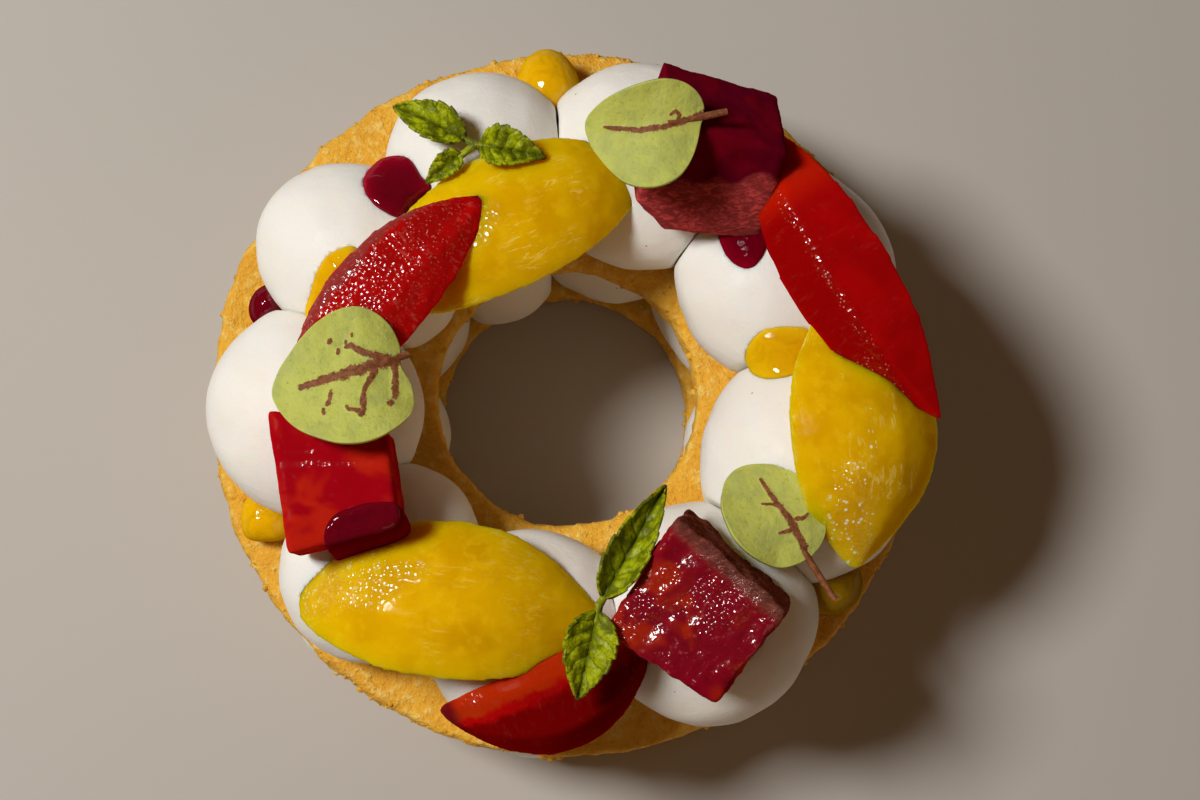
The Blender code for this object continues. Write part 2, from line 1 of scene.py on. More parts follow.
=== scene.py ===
"""Looks of a ring-shaped fruit tart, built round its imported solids.

Two crisp biscuit rings with piped cream between them, and on top a second layer of
cream with wedges and cubes of fruit, leaves and drops of gel. Metres, +Z up; the
origin is on the ring's axis, on the surface that the tart stands on. Angles are in
degrees, anticlockwise from +X as seen from above.
"""

import json
import math
import random

import bpy
import numpy as np
from bpy.props import FloatProperty, FloatVectorProperty, IntProperty, PointerProperty
from mathutils import Euler, Matrix, Vector, noise
from mathutils.bvhtree import BVHTree

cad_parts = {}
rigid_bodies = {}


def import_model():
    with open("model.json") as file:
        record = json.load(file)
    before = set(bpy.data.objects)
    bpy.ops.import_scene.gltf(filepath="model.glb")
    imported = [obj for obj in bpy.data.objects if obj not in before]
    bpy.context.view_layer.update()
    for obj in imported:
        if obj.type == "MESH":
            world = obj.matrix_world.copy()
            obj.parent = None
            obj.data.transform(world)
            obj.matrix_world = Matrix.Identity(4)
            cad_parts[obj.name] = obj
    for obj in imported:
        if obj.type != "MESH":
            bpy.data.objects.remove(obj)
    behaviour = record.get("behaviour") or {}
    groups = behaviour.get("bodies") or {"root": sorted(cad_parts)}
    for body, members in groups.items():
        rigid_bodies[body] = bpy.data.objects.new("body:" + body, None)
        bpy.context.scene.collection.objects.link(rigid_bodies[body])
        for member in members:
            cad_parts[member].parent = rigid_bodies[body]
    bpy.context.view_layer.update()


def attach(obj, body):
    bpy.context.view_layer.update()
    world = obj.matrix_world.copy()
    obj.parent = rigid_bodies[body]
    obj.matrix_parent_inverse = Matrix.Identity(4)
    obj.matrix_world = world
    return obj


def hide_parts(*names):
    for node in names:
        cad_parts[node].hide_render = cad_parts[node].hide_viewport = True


bl_info = {
    "name": "Fruit Tart",
    "version": (1, 0, 0),
    "blender": (4, 5, 0),
    "location": "3D View > Sidebar > Fruit Tart",
    "description": "Builds a ring-shaped fruit tart with its stage",
    "category": "Add Mesh",
}

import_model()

MM = 0.001
GAP = 0.3 * MM  # air between pieces that touch
PRESSED = 0.04 * MM  # air round a topping that is pressed into soft cream or gel
LEANING = 0.1 * MM  # air between pieces of fruit that lean on each other
HIGH_UP = 0.2  # a height in metres that lies above everything

# ---------------------------------------------------------------- biscuits and cream
RIM_EDGE = 1.1 * MM

# Domes of the upper layer: first and last edge in degrees, then inner reach,
# outer reach and height in millimetres.
UPPER_DOMES = [
    (49.7, 92.4, 20.4, 52.4, 20.6),
    (92.4, 130.2, 21.5, 51.4, 20.0),
    (130.2, 165.5, 20.7, 53.8, 19.6),
    (165.5, 205.5, 21.8, 54.4, 20.4),
    (205.5, 241.0, 22.6, 54.0, 19.4),
    (241.0, 281.6, 21.9, 52.6, 20.0),
    (281.6, 320.9, 22.6, 56.4, 20.4),
    (320.9, 366.5, 21.6, 54.4, 20.5),
    (366.5, 409.7, 20.7, 54.2, 20.0),
]

# Domes of the lower layer: middle in degrees, inner and outer reach in millimetres.
LOWER_DOMES = [
    (34, 19.6, 55.6),
    (76, 18.8, 55.2),
    (118, 16.6, 55.4),
    (151, 19.4, 55.0),
    (189, 18.8, 56.2),
    (226, 19.8, 56.0),
    (264, 20.0, 55.9),
    (305, 19.6, 55.4),
    (350, 19.6, 56.2),
]
UPPER_WIDEST = 0.42  # height of the widest ring, of the whole height
UPPER_FOOT = 35.0  # how far round the dome's side turns in under its widest ring
LOWER_FOOT = 34.0
DOME_PRESS = 1.18  # how far neighbours would overlap before they press flat
LOWER_GRAIN = 1.6  # mesh size of the lower cream, of the upper cream's

# ---------------------------------------------------------------- toppings
# Wedges: x, y, z of the middle in mm; heading, roll and pitch in degrees; length,
# width and height in mm; how pointed the back and the front end are; bow in mm.
YELLOW_WEDGES = [
    (-8.8, 22.8, 48.6, 28, -6, 2, 43.7, 21.4, 13.0, 0.06, 0.14, 0.0),
    (-16.7, -32.8, 48.8, -6, -10, -1, 45.9, 23.6, 13.5, 0.15, 0.50, -0.7),
    (42.6, -8.6, 48.2, -85, -14, 4, 39.1, 23.4, 13.5, 0.45, 0.62, -1.7),
]
RED_WEDGES = [
    (-27.7, 10.1, 54.0, 51, 8, -4, 43.4, 14.9, 12.0, 0.33, 0.43, -2.4),
    (-1.0, -46.1, 44.6, 24, 28, -1, 33.8, 16.0, 12.5, 0.33, 0.18, 4.2),
    (39.4, 14.7, 51.6, -59, 14, 1, 50.8, 16.0, 13.0, 0.37, 0.70, 1.4),
]
WEDGE_HALF_ANGLE = 46.0
WEDGE_TURN = 50.0  # degrees from the top at which the side that materials read is 1

# Ridges that run along the wedges, in degrees from the top towards the left side.
YELLOW_RIDGES = [(), (-14, 18), (-38, -14, 13)]
RED_RIDGES = [(-12, 34), (-12, 31), (-5,)]
# Where they glisten: from and to in mm along the wedge, mm to its left, reach in mm.
YELLOW_GLINTS = [
    [(-15, -5, 1.5, 4.0)],
    [(-19, -12, 1.0, 4.2), (-12, -5, 3.0, 1.6)],
    [(7, 16, -3.5, 3.4), (-4, 3, -1.0, 0.5)],
]
RED_GLINTS = [
    [(-10, -4, 3.5, 4.5), (-4, 12, 1.5, 5.5)],
    [(-17.5, -17, -1.0, 1.2), (-12.5, -12, 6.0, 1.2)],
    [(-14, 22, -1.5, 0.6), (14, 20, -4.0, 2.0)],
]
# From where to where along the wedge, in mm, its end changes colour and its fibres fray;
# past its end is nowhere.
RED_TIPS = [(17, 23), (-12, -17), (-6, -18)]
RED_FRAYED = [(30, 40), (6, 12), (30, 40)]
WEDGE_SIDE = 52.0  # the outermost ridge, past the wedge's cut side
YELLOW_FLATNESS = 0.45  # 1 is quite flat between two ridges, 0 is round
RED_FLATNESS = 0.8
# How strongly the golden wedges' pale fibres and painted glints (pale dots) show, and
# how deep their grains are in mm.
YELLOW_LOOKS = [(0.60, 0.5, 0.22), (0.35, 0.3, 0.28), (0.85, 1.0, 0.40)]

# Cubes: middle in mm; tilt about x and y in degrees; height in mm; then the heading
# of each side in degrees and its distance from the middle in mm.
RED_CUBES = [
    (-32.6, -16.7, 52.6, 2, -3, 11.0, [(8, 8.1), (80, 8.8), (189, 8.1), (284, 7.9)]),
    (18.2, -33.7, 52.6, 10, -10, 14.0, [(48, 9.0), (322, 10.2), (236, 9.0), (145, 9.0)]),
    (20.6, 32.0, 50.4, 50, 2, 15.0, [(350, 9.0), (72, 9.6), (165, 10.2), (221, 10.2), (264, 8.4)]),
]

# Drops of gel that stand on the biscuit: middle in mm; heading in degrees; length,
# width and height in mm; how pointed the front end is; how square they are.
YELLOW_STANDING = {
    1: (-3.1, 47.2, 34.0, -84, 12.6, 9.8, 11.0, 0.60, 2.0),
    4: (-45.6, -19.4, 31.4, 0, 7.6, 7.0, 6.4, 0.10, 3.4),
    5: (39.6, -28.9, 33.0, -20, 10.4, 9.6, 9.0, 0.15, 2.3),
}
RED_STANDING = {2: (-45.8, 13.4, 31.6, 60, 7.4, 6.0, 6.4, 0.20, 2.0)}

# Drops of gel that run out over cream and fruit: middle in mm; how high they stand and
# how deep they reach; then their outline, as points round the middle in mm.
YELLOW_SPREAD = {
    2: (-35.4, 14.0, 2.4, 2.0, [
        (4.6, 5.6), (1.4, 4.9), (-0.4, 3.7), (-1.9, 1.4), (-2.6, -0.8), (-3.6, -4.0), (-3.4, -4.9),
        (-2.6, -5.2), (0.6, -3.0), (3.4, 1.0),
    ]),
    3: (31.0, 4.1, 2.0, 2.0, [
        (4.8, 3.6), (0.2, 3.8), (-2.2, 3.4), (-3.7, 2.3), (-4.6, 0.9), (-4.6, -0.6), (-3.4, -3.0),
        (-2.0, -3.8), (0.3, -3.8), (3.0, -3.2), (4.8, 0.0),
    ]),
}
RED_SPREAD = {
    1: (-25.4, 28.5, 1.8, 2.0, [
        (5.4, 0.4), (3.6, 1.5), (2.6, 3.4), (1.4, 5.2), (-0.7, 6.0), (-3.1, 5.4), (-5.0, 3.4),
        (-5.4, 1.2), (-4.8, -0.9), (-3.2, -2.9), (-0.6, -4.4), (0.9, -4.6), (1.7, -3.4), (3.0, -1.8),
    ]),
    3: (26.0, 20.4, 1.8, 2.0, [
        (3.7, 0.4), (3.6, 3.2), (-3.4, 3.2), (-3.7, 0.8), (-2.9, -1.6), (-1.6, -3.2), (0.0, -4.1),
        (1.2, -3.9), (2.6, -2.2),
    ]),
    4: (-28.9, -22.9, 1.1, 5.0, [
        (6.6, 0.6), (4.8, 3.6), (0.2, 3.4), (-2.9, 2.3), (-4.4, 1.6), (-5.4, -0.4), (-5.5, -2.2),
        (-4.6, -4.2), (-2.2, -4.2), (1.0, -3.4), (4.4, -2.0),
    ]),
}
OVER_FRUIT = 4.0  # a drop that reaches deeper than this, in mm, lies over fruit
# Its gel is painted darker than the other golden drops: painted shade.
SHADED_DROP = "yellow_gel_5"
DULL_DROP = "red_gel_3"  # it lies in a cube's shade

# The ground under a drop that runs out, in mm.
GROUND_STEP = 0.4  # of the grid that it is measured on
GROUND_MARGIN = 2.5  # how far round the drop it is measured
GROUND_BRIDGE = 1.8  # half the width of the grooves in cream that are bridged
GROUND_BRIDGE_OVER_FRUIT = 1.2  # how far the fruit's height is carried past its edge
GROUND_SMOOTHED = (0.8, 3.0)  # how far it is smoothed under the drop's rim and middle

# Round leaves: x, y of the middle in mm; heading of the tip, roll and pitch in degrees;
# stem length in mm; how steeply it folds along its midrib; how far the edge reaches from
# the middle, every 20 degrees anticlockwise from the tip, in mm; how far the base bends
# down in mm; then the veins and spots, as lines of points with their half width in mm.
ROUND_LEAVES = [
    (
        (-32.1, -2.2), (194, 8, -4), 1.5, 0.0,
        [9.7, 9.5, 9.4, 9.4, 9.9, 10.4, 10.8, 11.0, 10.0, 8.6, 9.6, 10.4, 10.5, 9.6, 8.5, 7.9, 7.9, 8.7],
        2.4,
        [
            [
                (-8.4, -1.0, 0.8), (-5.8, -0.8, 0.9), (-2.9, -0.4, 0.9), (0.0, -0.2, 0.8), (2.9, 0.0, 0.6),
                (5.6, 0.1, 0.4),
            ],
            [(-7.1, -1.1, 0.5), (-4.8, -2.2, 0.6), (-3.5, -3.1, 0.5), (-2.6, -4.1, 0.4), (-1.7, -4.0, 0.2)],
            [(-7.6, -0.3, 0.6), (-7.5, 1.5, 0.5), (-7.0, 3.5, 0.5), (-6.6, 4.6, 0.4)],
            [(-5.9, 5.3, 0.5), (-5.8, 5.6, 0.4)],
            [
                (-4.9, 0.1, 0.5), (-3.9, 1.3, 0.4), (-2.7, 2.8, 0.3), (-2.4, 4.1, 0.4), (-2.1, 5.5, 0.4),
                (-1.6, 6.3, 0.4),
            ],
            [(-1.5, 5.6, 0.3), (-0.2, 5.1, 0.25), (0.1, 4.6, 0.2)],
            [(1.6, 1.7, 0.2), (2.0, 2.7, 0.25), (2.5, 3.6, 0.3)],
            [(3.3, 4.1, 0.22), (3.3, 4.8, 0.2)],
            [(0.2, -5.4, 0.35), (0.3, -5.2, 0.3)],
            [(-0.6, -3.9, 0.22), (-0.5, -3.4, 0.2)],
            [(-1.9, -4.8, 0.22), (-1.9, -4.5, 0.2)],
            [(-3.0, -5.7, 0.18), (-2.9, -5.3, 0.18)],
        ],
    ),
    (
        (10.4, 32.1), (187, -10, 6), 4.0, 0.20,
        [8.0, 7.3, 7.2, 7.5, 7.7, 7.8, 7.8, 7.5, 7.4, 7.8, 9.1, 9.1, 8.1, 7.1, 6.7, 6.9, 7.7, 8.6],
        0.4,
        [
            [
                (5.6, -1.8, 0.15), (4.1, -1.3, 0.3), (0.6, -0.5, 0.42), (-2.9, -0.5, 0.45), (-6.6, -1.3, 0.5),
                (-8.3, -1.7, 0.5),
            ],
            [(-4.5, -0.9, 0.25), (-5.1, -1.9, 0.22), (-4.6, -2.6, 0.2), (-3.9, -2.2, 0.15)],
        ],
    ),
    (
        (29.2, -19.7), (122, 12, 8), 7.0, 0.0,
        [8.0, 7.9, 7.5, 7.2, 7.1, 7.3, 7.5, 7.8, 8.2, 8.4, 8.6, 8.4, 7.4, 6.6, 6.4, 6.8, 7.1, 7.5],
        0.0,
        [
            [(4.8, -1.4, 0.2), (2.4, -1.3, 0.3), (0.2, -1.3, 0.45), (-2.5, -1.6, 0.55), (-7.0, -1.4, 0.55)],
            [(-2.8, -2.4, 0.28), (-3.3, -3.4, 0.22), (-3.1, -4.3, 0.15)],
            [(-3.9, -1.2, 0.28), (-3.6, 0.0, 0.22), (-3.3, 0.8, 0.15)],
            [(0.3, -1.2, 0.22), (0.9, -0.4, 0.15), (1.5, 0.6, 0.12)],
        ],
    ),
]
TUCKED_LEAF = 2  # the last leaf is tucked under a wedge
TUCKED_LEAF_HEIGHT = 49.4  # of its middle, in mm
ROUND_LEAF_CUTS = 100
LEAF_CUP = 1.2 * MM  # how far the blade's sides stand above its midrib
LEAF_ARCH = 1.6 * MM  # how far its base and tip hang below its middle
LEAF_WAVE = 0.6 * MM

# Sprigs of mint: x, y of the joint in mm; then for each leaf its heading and its
# rise in degrees, stalk length, blade length and width in mm, and its edges' curl.
MINT_SPRIGS = [
    (
        (-13.8, 33.8),
        [(152, -8, 1.8, 12.4, 6.8, 0.9), (-12, 12, 0.8, 9.6, 6.8, 0.6), (216, -10, 2.6, 6.6, 4.2, 0.8)],
    ),
    (
        (4.2, -33.6),
        [(61, 4, 1.2, 18.0, 8.0, 1.3), (257, -6, 1.0, 12.6, 8.4, 0.7)],
    ),
]
MINT_CUTS = (80, 40)  # along and across a blade
MINT_TEETH = 6
MINT_FOLD = 0.42  # rise of the blade's sides, of its half width
MINT_DROOP = 0.10  # fall of the tip, of the blade's length

# ---------------------------------------------------------------- view
CAMERA_PLACE = (-0.0044, -0.0483, 0.3675)
CAMERA_TURN = (8.0, -1.6, 0.0)
CAMERA_LENS = 66.39
LIT_MIDDLE = (0, 0, 0.03)
# Lights: direction from the tart, distance and size in metres, power in watts, colour.
LIGHTS = {
    "key_light": ((-0.52, 0.13, 0.84), 0.75, 0.19, 5.0, (1.0, 0.99, 0.965)),
    "fill_light": ((0.35, -0.75, 0.55), 0.9, 0.5, 0.50, (1.0, 0.64, 0.38)),
}
WORLD_COLOUR = (1.0, 0.55, 0.26)
WORLD_STRENGTH = 0.06
FLOOR_SIZE = 6.0


# ---------------------------------------------------------------- settings
def length_setting(name, description, default):
    return FloatProperty(
        name=name, description=description, default=default, min=0.0, subtype="DISTANCE", unit="LENGTH"
    )


def colour_setting(name, description, default):
    return FloatVectorProperty(
        name=name, description=description, default=default, size=3, min=0.0, max=1.0, subtype="COLOR"
    )


class TartSizes(bpy.types.PropertyGroup):
    ring_outer: length_setting("Ring outside", "Radius of the biscuit rings' outer rim", 55.0 * MM)
    ring_inner: length_setting("Ring inside", "Radius of the biscuit rings' hole", 20.1 * MM)
    biscuit: length_setting("Biscuit", "Thickness of each biscuit ring", 5.0 * MM)
    lower_cream: length_setting("Lower cream", "Height of the cream between the biscuits", 18.0 * MM)
    leaf_thickness: length_setting("Leaf thickness", "Thickness of the leaves and mint blades", 0.6 * MM)
    stem_radius: length_setting("Stem radius", "Radius of the leaves' stems", 0.6 * MM)
    biscuit_grain: length_setting("Biscuit grain", "Mesh size of the biscuits", 0.75 * MM)
    cream_grain: length_setting("Cream grain", "Mesh size of the upper cream", 0.56 * MM)
    fruit_grain: length_setting("Fruit grain", "Mesh size of the fruit", 0.4 * MM)
    gel_grain: length_setting("Gel grain", "Mesh size of the gel", 0.3 * MM)
    crumbs: IntProperty(name="Crumbs", description="Loose crumbs on the rims", default=420, min=0, max=2000)


class TartColours(bpy.types.PropertyGroup):
    biscuit: colour_setting("Biscuit", "Baked biscuit", (0.95, 0.51, 0.052))
    biscuit_light: colour_setting("Light biscuit", "Raised grains of the biscuit", (1.0, 0.72, 0.20))
    biscuit_dark: colour_setting("Dark biscuit", "Pits and darker bake", (0.70, 0.29, 0.016))
    cream: colour_setting("Cream", "Piped cream", (0.88, 0.855, 0.80))
    yellow_fruit: colour_setting("Yellow fruit", "Golden fruit wedges", (0.79, 0.47, 0.0010))
    yellow_deep: colour_setting("Deep yellow", "Darker zones of the golden wedges", (0.70, 0.385, 0.0005))
    yellow_pale: colour_setting("Pale yellow fruit", "Fibres of the golden wedges", (0.92, 0.68, 0.12))
    red_fruit: colour_setting("Red fruit", "Red fruit wedges", (0.44, 0.0020, 0.0025))
    red_orange: colour_setting("Orange-red fruit", "Lighter zones of the red wedges", (0.56, 0.020, 0.0012))
    red_pale: colour_setting("Pale red fruit", "Fibres and dots of the red wedges", (0.66, 0.26, 0.20))
    wine_fruit: colour_setting("Wine fruit", "Dark red cubes", (0.115, 0.0010, 0.0110))
    yellow_gel: colour_setting("Yellow gel", "Golden drops", (0.78, 0.42, 0.0012))
    red_gel: colour_setting("Red gel", "Dark red drops", (0.14, 0.0004, 0.0075))
    leaf: colour_setting("Leaf", "Round leaves", (0.52, 0.55, 0.108))
    leaf_vein: colour_setting("Leaf veins", "Veins and stems of the round leaves", (0.15, 0.018, 0.010))
    mint: colour_setting("Mint", "Mint blades", (0.088, 0.104, 0.0010))
    # Painted light: the lit colour of the raised cells of the mint blades.
    mint_painted_light: colour_setting("Light mint", "Raised parts of the mint blades", (0.42, 0.48, 0.004))
    floor: colour_setting("Floor", "Surface under the tart", (0.50, 0.465, 0.42))


# ---------------------------------------------------------------- modelling tools
def choose(*objects):
    """Select these objects alone; the last one is active."""
    bpy.ops.object.select_all(action="DESELECT")
    for obj in objects:
        obj.select_set(True)
    bpy.context.view_layer.objects.active = objects[-1]


def freeze(obj):
    """Move the object's place into its mesh."""
    choose(obj)
    bpy.ops.object.transform_apply(location=True, rotation=True, scale=True)
    return obj


def apply_modifiers(obj):
    choose(obj)
    for name in [modifier.name for modifier in obj.modifiers]:
        bpy.ops.object.modifier_apply(modifier=name)
    return obj


def discard(obj):
    mesh = obj.data
    bpy.data.objects.remove(obj, do_unlink=True)
    bpy.data.meshes.remove(mesh)


def corners_of(obj):
    flat = np.empty(len(obj.data.vertices) * 3, np.float32)
    obj.data.vertices.foreach_get("co", flat)
    return flat.reshape(-1, 3).astype(float)


def set_corners(obj, corners):
    obj.data.vertices.foreach_set("co", np.asarray(corners, np.float32).ravel())
    obj.data.update()


def add_ball(name, radii, segments, rings):
    """A ball with its poles at the two ends along X."""
    bpy.ops.mesh.primitive_uv_sphere_add(
        segments=segments, ring_count=rings, radius=1, rotation=(0, math.pi / 2, 0)
    )
    ball = bpy.context.active_object
    ball.name = name
    freeze(ball)
    ball.scale = radii
    return freeze(ball)


def slice_off(obj, point, outward):
    """Cut away what lies beyond a plane and close the cut."""
    choose(obj)
    bpy.ops.object.mode_set(mode="EDIT")
    bpy.ops.mesh.select_all(action="SELECT")
    bpy.ops.mesh.bisect(plane_co=point, plane_no=outward, use_fill=True, clear_outer=True)
    bpy.ops.object.mode_set(mode="OBJECT")


def even_out(obj, grain, rounds):
    """An even mesh of small faces, with its edges softened."""
    remesh = obj.modifiers.new("Even mesh", "REMESH")
    remesh.mode = "VOXEL"
    remesh.voxel_size = grain
    soften = obj.modifiers.new("Soften", "SMOOTH")
    soften.factor = 0.5
    soften.iterations = rounds
    return apply_modifiers(obj)


def roughen(obj, size, depth, detail=2):
    """Cloudy relief; size and depth are in metres."""
    texture = bpy.data.textures.new(f"{obj.name}_relief", "CLOUDS")
    texture.noise_scale = size
    texture.noise_depth = detail
    relief = obj.modifiers.new("Relief", "DISPLACE")
    relief.texture = texture
    relief.texture_coords = "LOCAL"
    relief.mid_level = 0.5
    relief.strength = depth
    apply_modifiers(obj)
    bpy.data.textures.remove(texture)
    return obj


def point_ends(obj, back, front, bow):
    """Narrow the two ends along X and bend them sideways."""
    corners = corners_of(obj)
    along = corners[:, 0] / np.abs(corners[:, 0]).max()
    pointed = np.where(along > 0, front, back)
    narrowing = 1 - pointed * np.abs(along) ** 3
    corners[:, 1] = corners[:, 1] * narrowing + bow * along * along
    corners[:, 2] *= narrowing
    set_corners(obj, corners)


def put(obj, x, y, z, roll=0.0, pitch=0.0, heading=0.0):
    """Turn a piece by angles in degrees and move its middle to a place in mm."""
    obj.rotation_euler = [math.radians(angle) for angle in (roll, pitch, heading)]
    obj.location = Vector((x, y, z)) * MM
    return freeze(obj)


def boxes_meet(one, other):
    low_one, high_one = one.min(0), one.max(0)
    low_other, high_other = other.min(0), other.max(0)
    return bool(np.all(low_one < high_other + GAP) and np.all(low_other < high_one + GAP))


def make_room(obj, others, air=GAP):
    """Press a piece in: cut away where the others lie, and the air round them."""
    for other in others:
        if not boxes_meet(corners_of(obj), corners_of(other)):
            continue
        cutter = other.copy()
        cutter.data = other.data.copy()
        bpy.context.scene.collection.objects.link(cutter)
        grow = cutter.modifiers.new("Grow", "DISPLACE")
        grow.mid_level = 0.0
        grow.strength = air
        whole = cutter.modifiers.new("One solid", "REMESH")
        whole.mode = "VOXEL"
        whole.voxel_size = 0.4 * MM
        apply_modifiers(cutter)
        cut = obj.modifiers.new("Room", "BOOLEAN")
        cut.operation = "DIFFERENCE"
        cut.solver = "MANIFOLD"
        cut.object = cutter
        apply_modifiers(obj)
        discard(cutter)
    return keep_largest(obj)


def keep_largest(obj):
    """Throw away the small scraps that a cut leaves."""
    name = obj.name
    choose(obj)
    bpy.ops.object.mode_set(mode="EDIT")
    bpy.ops.mesh.separate(type="LOOSE")
    bpy.ops.object.mode_set(mode="OBJECT")
    parts = sorted(bpy.context.selected_objects, key=lambda part: len(part.data.vertices))
    for scrap in parts[:-1]:
        discard(scrap)
    parts[-1].name = name
    return parts[-1]


def named(*starts):
    """The finished pieces whose names start with one of these words."""
    names = tuple(f"fine_{start}" for start in starts)
    return [obj for obj in bpy.data.objects if obj.name.startswith(names)]


def finish_piece(obj, material, slot, *nodes):
    """Give a piece its material and let it stand for its solids."""
    obj.data.materials.clear()
    obj.data.materials.append(material)
    choose(obj)
    bpy.ops.object.shade_smooth()
    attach(obj, "root")
    if nodes:
        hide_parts(*nodes)
    return obj


def surface_tree(objects):
    """One search tree of the objects' faces."""
    corners, faces = [], []
    for obj in objects:
        first = len(corners)
        corners += [vertex.co.copy() for vertex in obj.data.vertices]
        faces += [[first + index for index in face.vertices] for face in obj.data.polygons]
    return BVHTree.FromPolygons(corners, faces)


def settle(obj, below, clearance):
    """Lower a piece from above until it is about to touch what lies under it."""
    corners = corners_of(obj)
    low, high = corners.min(0), corners.max(0)
    near = []
    for other in below:
        points = corners_of(other)
        if np.all(points.max(0)[:2] > low[:2]) and np.all(points.min(0)[:2] < high[:2]):
            near.append(other)
    lift = Vector((0, 0, HIGH_UP))
    down = Vector((0, 0, -1))
    under = surface_tree(near)
    room = [under.ray_cast(Vector(corner) + lift, down)[3] for corner in corners]
    own = surface_tree([obj])
    for other in near:
        points = corners_of(other)
        inside = np.all((points[:, :2] > low[:2]) & (points[:, :2] < high[:2]), axis=1)
        room += [own.ray_cast(Vector(point) - lift, -down)[3] for point in points[inside]]
    fall = min(distance for distance in room if distance is not None) - clearance
    corners[:, 2] += HIGH_UP - fall
    set_corners(obj, corners)


# ---------------------------------------------------------------- material tools
class Recipe:
    """A material's nodes, added one after another."""

    def __init__(self, name):
        self.material = bpy.data.materials.new(name)
        self.material.use_nodes = True
        self.tree = self.material.node_tree
        self.surface = self.tree.nodes["Principled BSDF"]
        self.place = self.add("ShaderNodeTexCoord").outputs["Object"]

    def add(self, kind, settings=None, **inputs):
        node = self.tree.nodes.new(kind)
        for key, value in (settings or {}).items():
            setattr(node, key, value)
        for key, value in inputs.items():
            self.feed(node.inputs[key], value)
        return node

    def feed(self, socket, value):
        if isinstance(value, bpy.types.NodeSocket):
            self.tree.links.new(value, socket)
        elif socket.type == "RGBA" and len(value) == 3:
            socket.default_value = (*value, 1.0)
        else:
            socket.default_value = value

    def set(self, **inputs):
        for key, value in inputs.items():
            self.feed(self.surface.inputs[key.replace("_", " ")], value)

    def noise(self, size, detail=3.0, roughness=0.5, distortion=0.0, where=None):
        """Cloudy pattern with spots of about this size in mm."""
        node = self.add(
            "ShaderNodeTexNoise", Vector=where or self.place, Scale=1000.0 / size, Detail=detail,
            Roughness=roughness, Distortion=distortion,
        )
        return node.outputs["Fac"]

    def cells(self, size):
        """How far it is to the nearest middle of cells of about this size in mm."""
        node = self.add("ShaderNodeTexVoronoi", Vector=self.place, Scale=1000.0 / size)
        return node.outputs["Distance"]

    def stretched(self, scale, where=None):
        """The place, stretched, for grain that runs one way."""
        node = self.add("ShaderNodeMapping", Vector=where or self.place)
        node.inputs["Scale"].default_value = scale
        return node.outputs["Vector"]

    def range(self, value, low, high, to_low=0.0, to_high=1.0):
        """Go softly from to_low to to_high while the value goes from low to high."""
        node = self.add("ShaderNodeMapRange", {"interpolation_type": "SMOOTHSTEP"}, Value=value)
        limits = {"From Min": low, "From Max": high, "To Min": to_low, "To Max": to_high}
        for name, limit in limits.items():
            node.inputs[name].default_value = limit
        return node.outputs["Result"]

    def sum(self, one, other, share=1.0):
        """The first value and a share of the second."""
        node = self.add("ShaderNodeMath", {"operation": "MULTIPLY_ADD"})
        self.feed(node.inputs[0], other)
        node.inputs[1].default_value = share
        self.feed(node.inputs[2], one)
        return node.outputs[0]

    def times(self, one, other):
        node = self.add("ShaderNodeMath", {"operation": "MULTIPLY"})
        self.feed(node.inputs[0], one)
        self.feed(node.inputs[1], other)
        return node.outputs[0]

    def blend(self, share, one, other):
        """The first colour, with this share of the second."""
        node = self.add("ShaderNodeMix", {"data_type": "RGBA"})
        self.feed(node.inputs[0], share)
        self.feed(node.inputs[6], one)
        self.feed(node.inputs[7], other)
        return node.outputs[2]

    def attribute(self, name, output="Fac"):
        node = self.add("ShaderNodeAttribute", {"attribute_name": name})
        return node.outputs[output]

    def grains(self, size, patch):
        """Round grains of this size in mm; each catches one glint. patch is where."""
        distance = self.cells(size)
        return self.times(self.times(distance, distance), patch)

    def bump(self, height, depth, under=None):
        """Fine relief; depth is in mm."""
        node = self.add("ShaderNodeBump", Height=height, Strength=1.0, Distance=depth * MM)
        if under is not None:
            self.feed(node.inputs["Normal"], under)
        return node.outputs["Normal"]


def flesh_light(recipe, weight, radius, scale):
    """Light that enters the surface and comes out near by."""
    recipe.set(Subsurface_Weight=weight, Subsurface_Radius=radius, Subsurface_Scale=scale * MM)


def wet_coat(recipe, weight, roughness, normal):
    """A film of juice or glaze over flesh that hardly shines itself, thickest where it
    glistens."""
    shine = recipe.range(recipe.attribute("glint"), 0.0, 0.7, 0.02 * weight, weight)
    glaze = recipe.times(recipe.attribute("glaze"), shine)
    recipe.set(
        Specular_IOR_Level=0.0, Coat_Weight=glaze, Coat_Roughness=roughness, Coat_IOR=1.45, Coat_Normal=normal
    )


def biscuit_material(colours):
    recipe = Recipe("baked_biscuit")
    bake = recipe.range(recipe.noise(13.0, 3.0), 0.38, 0.68)
    lumps = recipe.noise(1.5, 3.0, 0.6)
    sand = recipe.noise(0.42, 3.0, 0.7)
    pits = recipe.range(recipe.cells(1.6), 0.0, 0.30, 1.0, 0.0)
    pits = recipe.times(pits, recipe.range(recipe.noise(2.8, 2.0), 0.48, 0.62))
    colour = recipe.blend(recipe.times(bake, 0.30), colours.biscuit, (0.62, 0.25, 0.020))
    colour = recipe.blend(recipe.range(lumps, 0.50, 0.70, 0.0, 0.75), colour, colours.biscuit_light)
    colour = recipe.blend(recipe.range(lumps, 0.46, 0.28, 0.0, 0.45), colour, colours.biscuit_dark)
    colour = recipe.blend(recipe.range(sand, 0.46, 0.30, 0.0, 0.30), colour, colours.biscuit_dark)
    colour = recipe.blend(recipe.times(pits, 0.5), colour, colours.biscuit_dark)
    grain = recipe.sum(recipe.sum(lumps, sand, 0.55), pits, -0.45)
    recipe.set(
        Base_Color=colour, Roughness=recipe.range(sand, 0.3, 0.7, 0.65, 0.90), Specular_IOR_Level=0.18,
        Normal=recipe.bump(grain, 0.75),
    )
    flesh_light(recipe, 0.15, (1.0, 0.45, 0.12), 1.5)
    return recipe.material


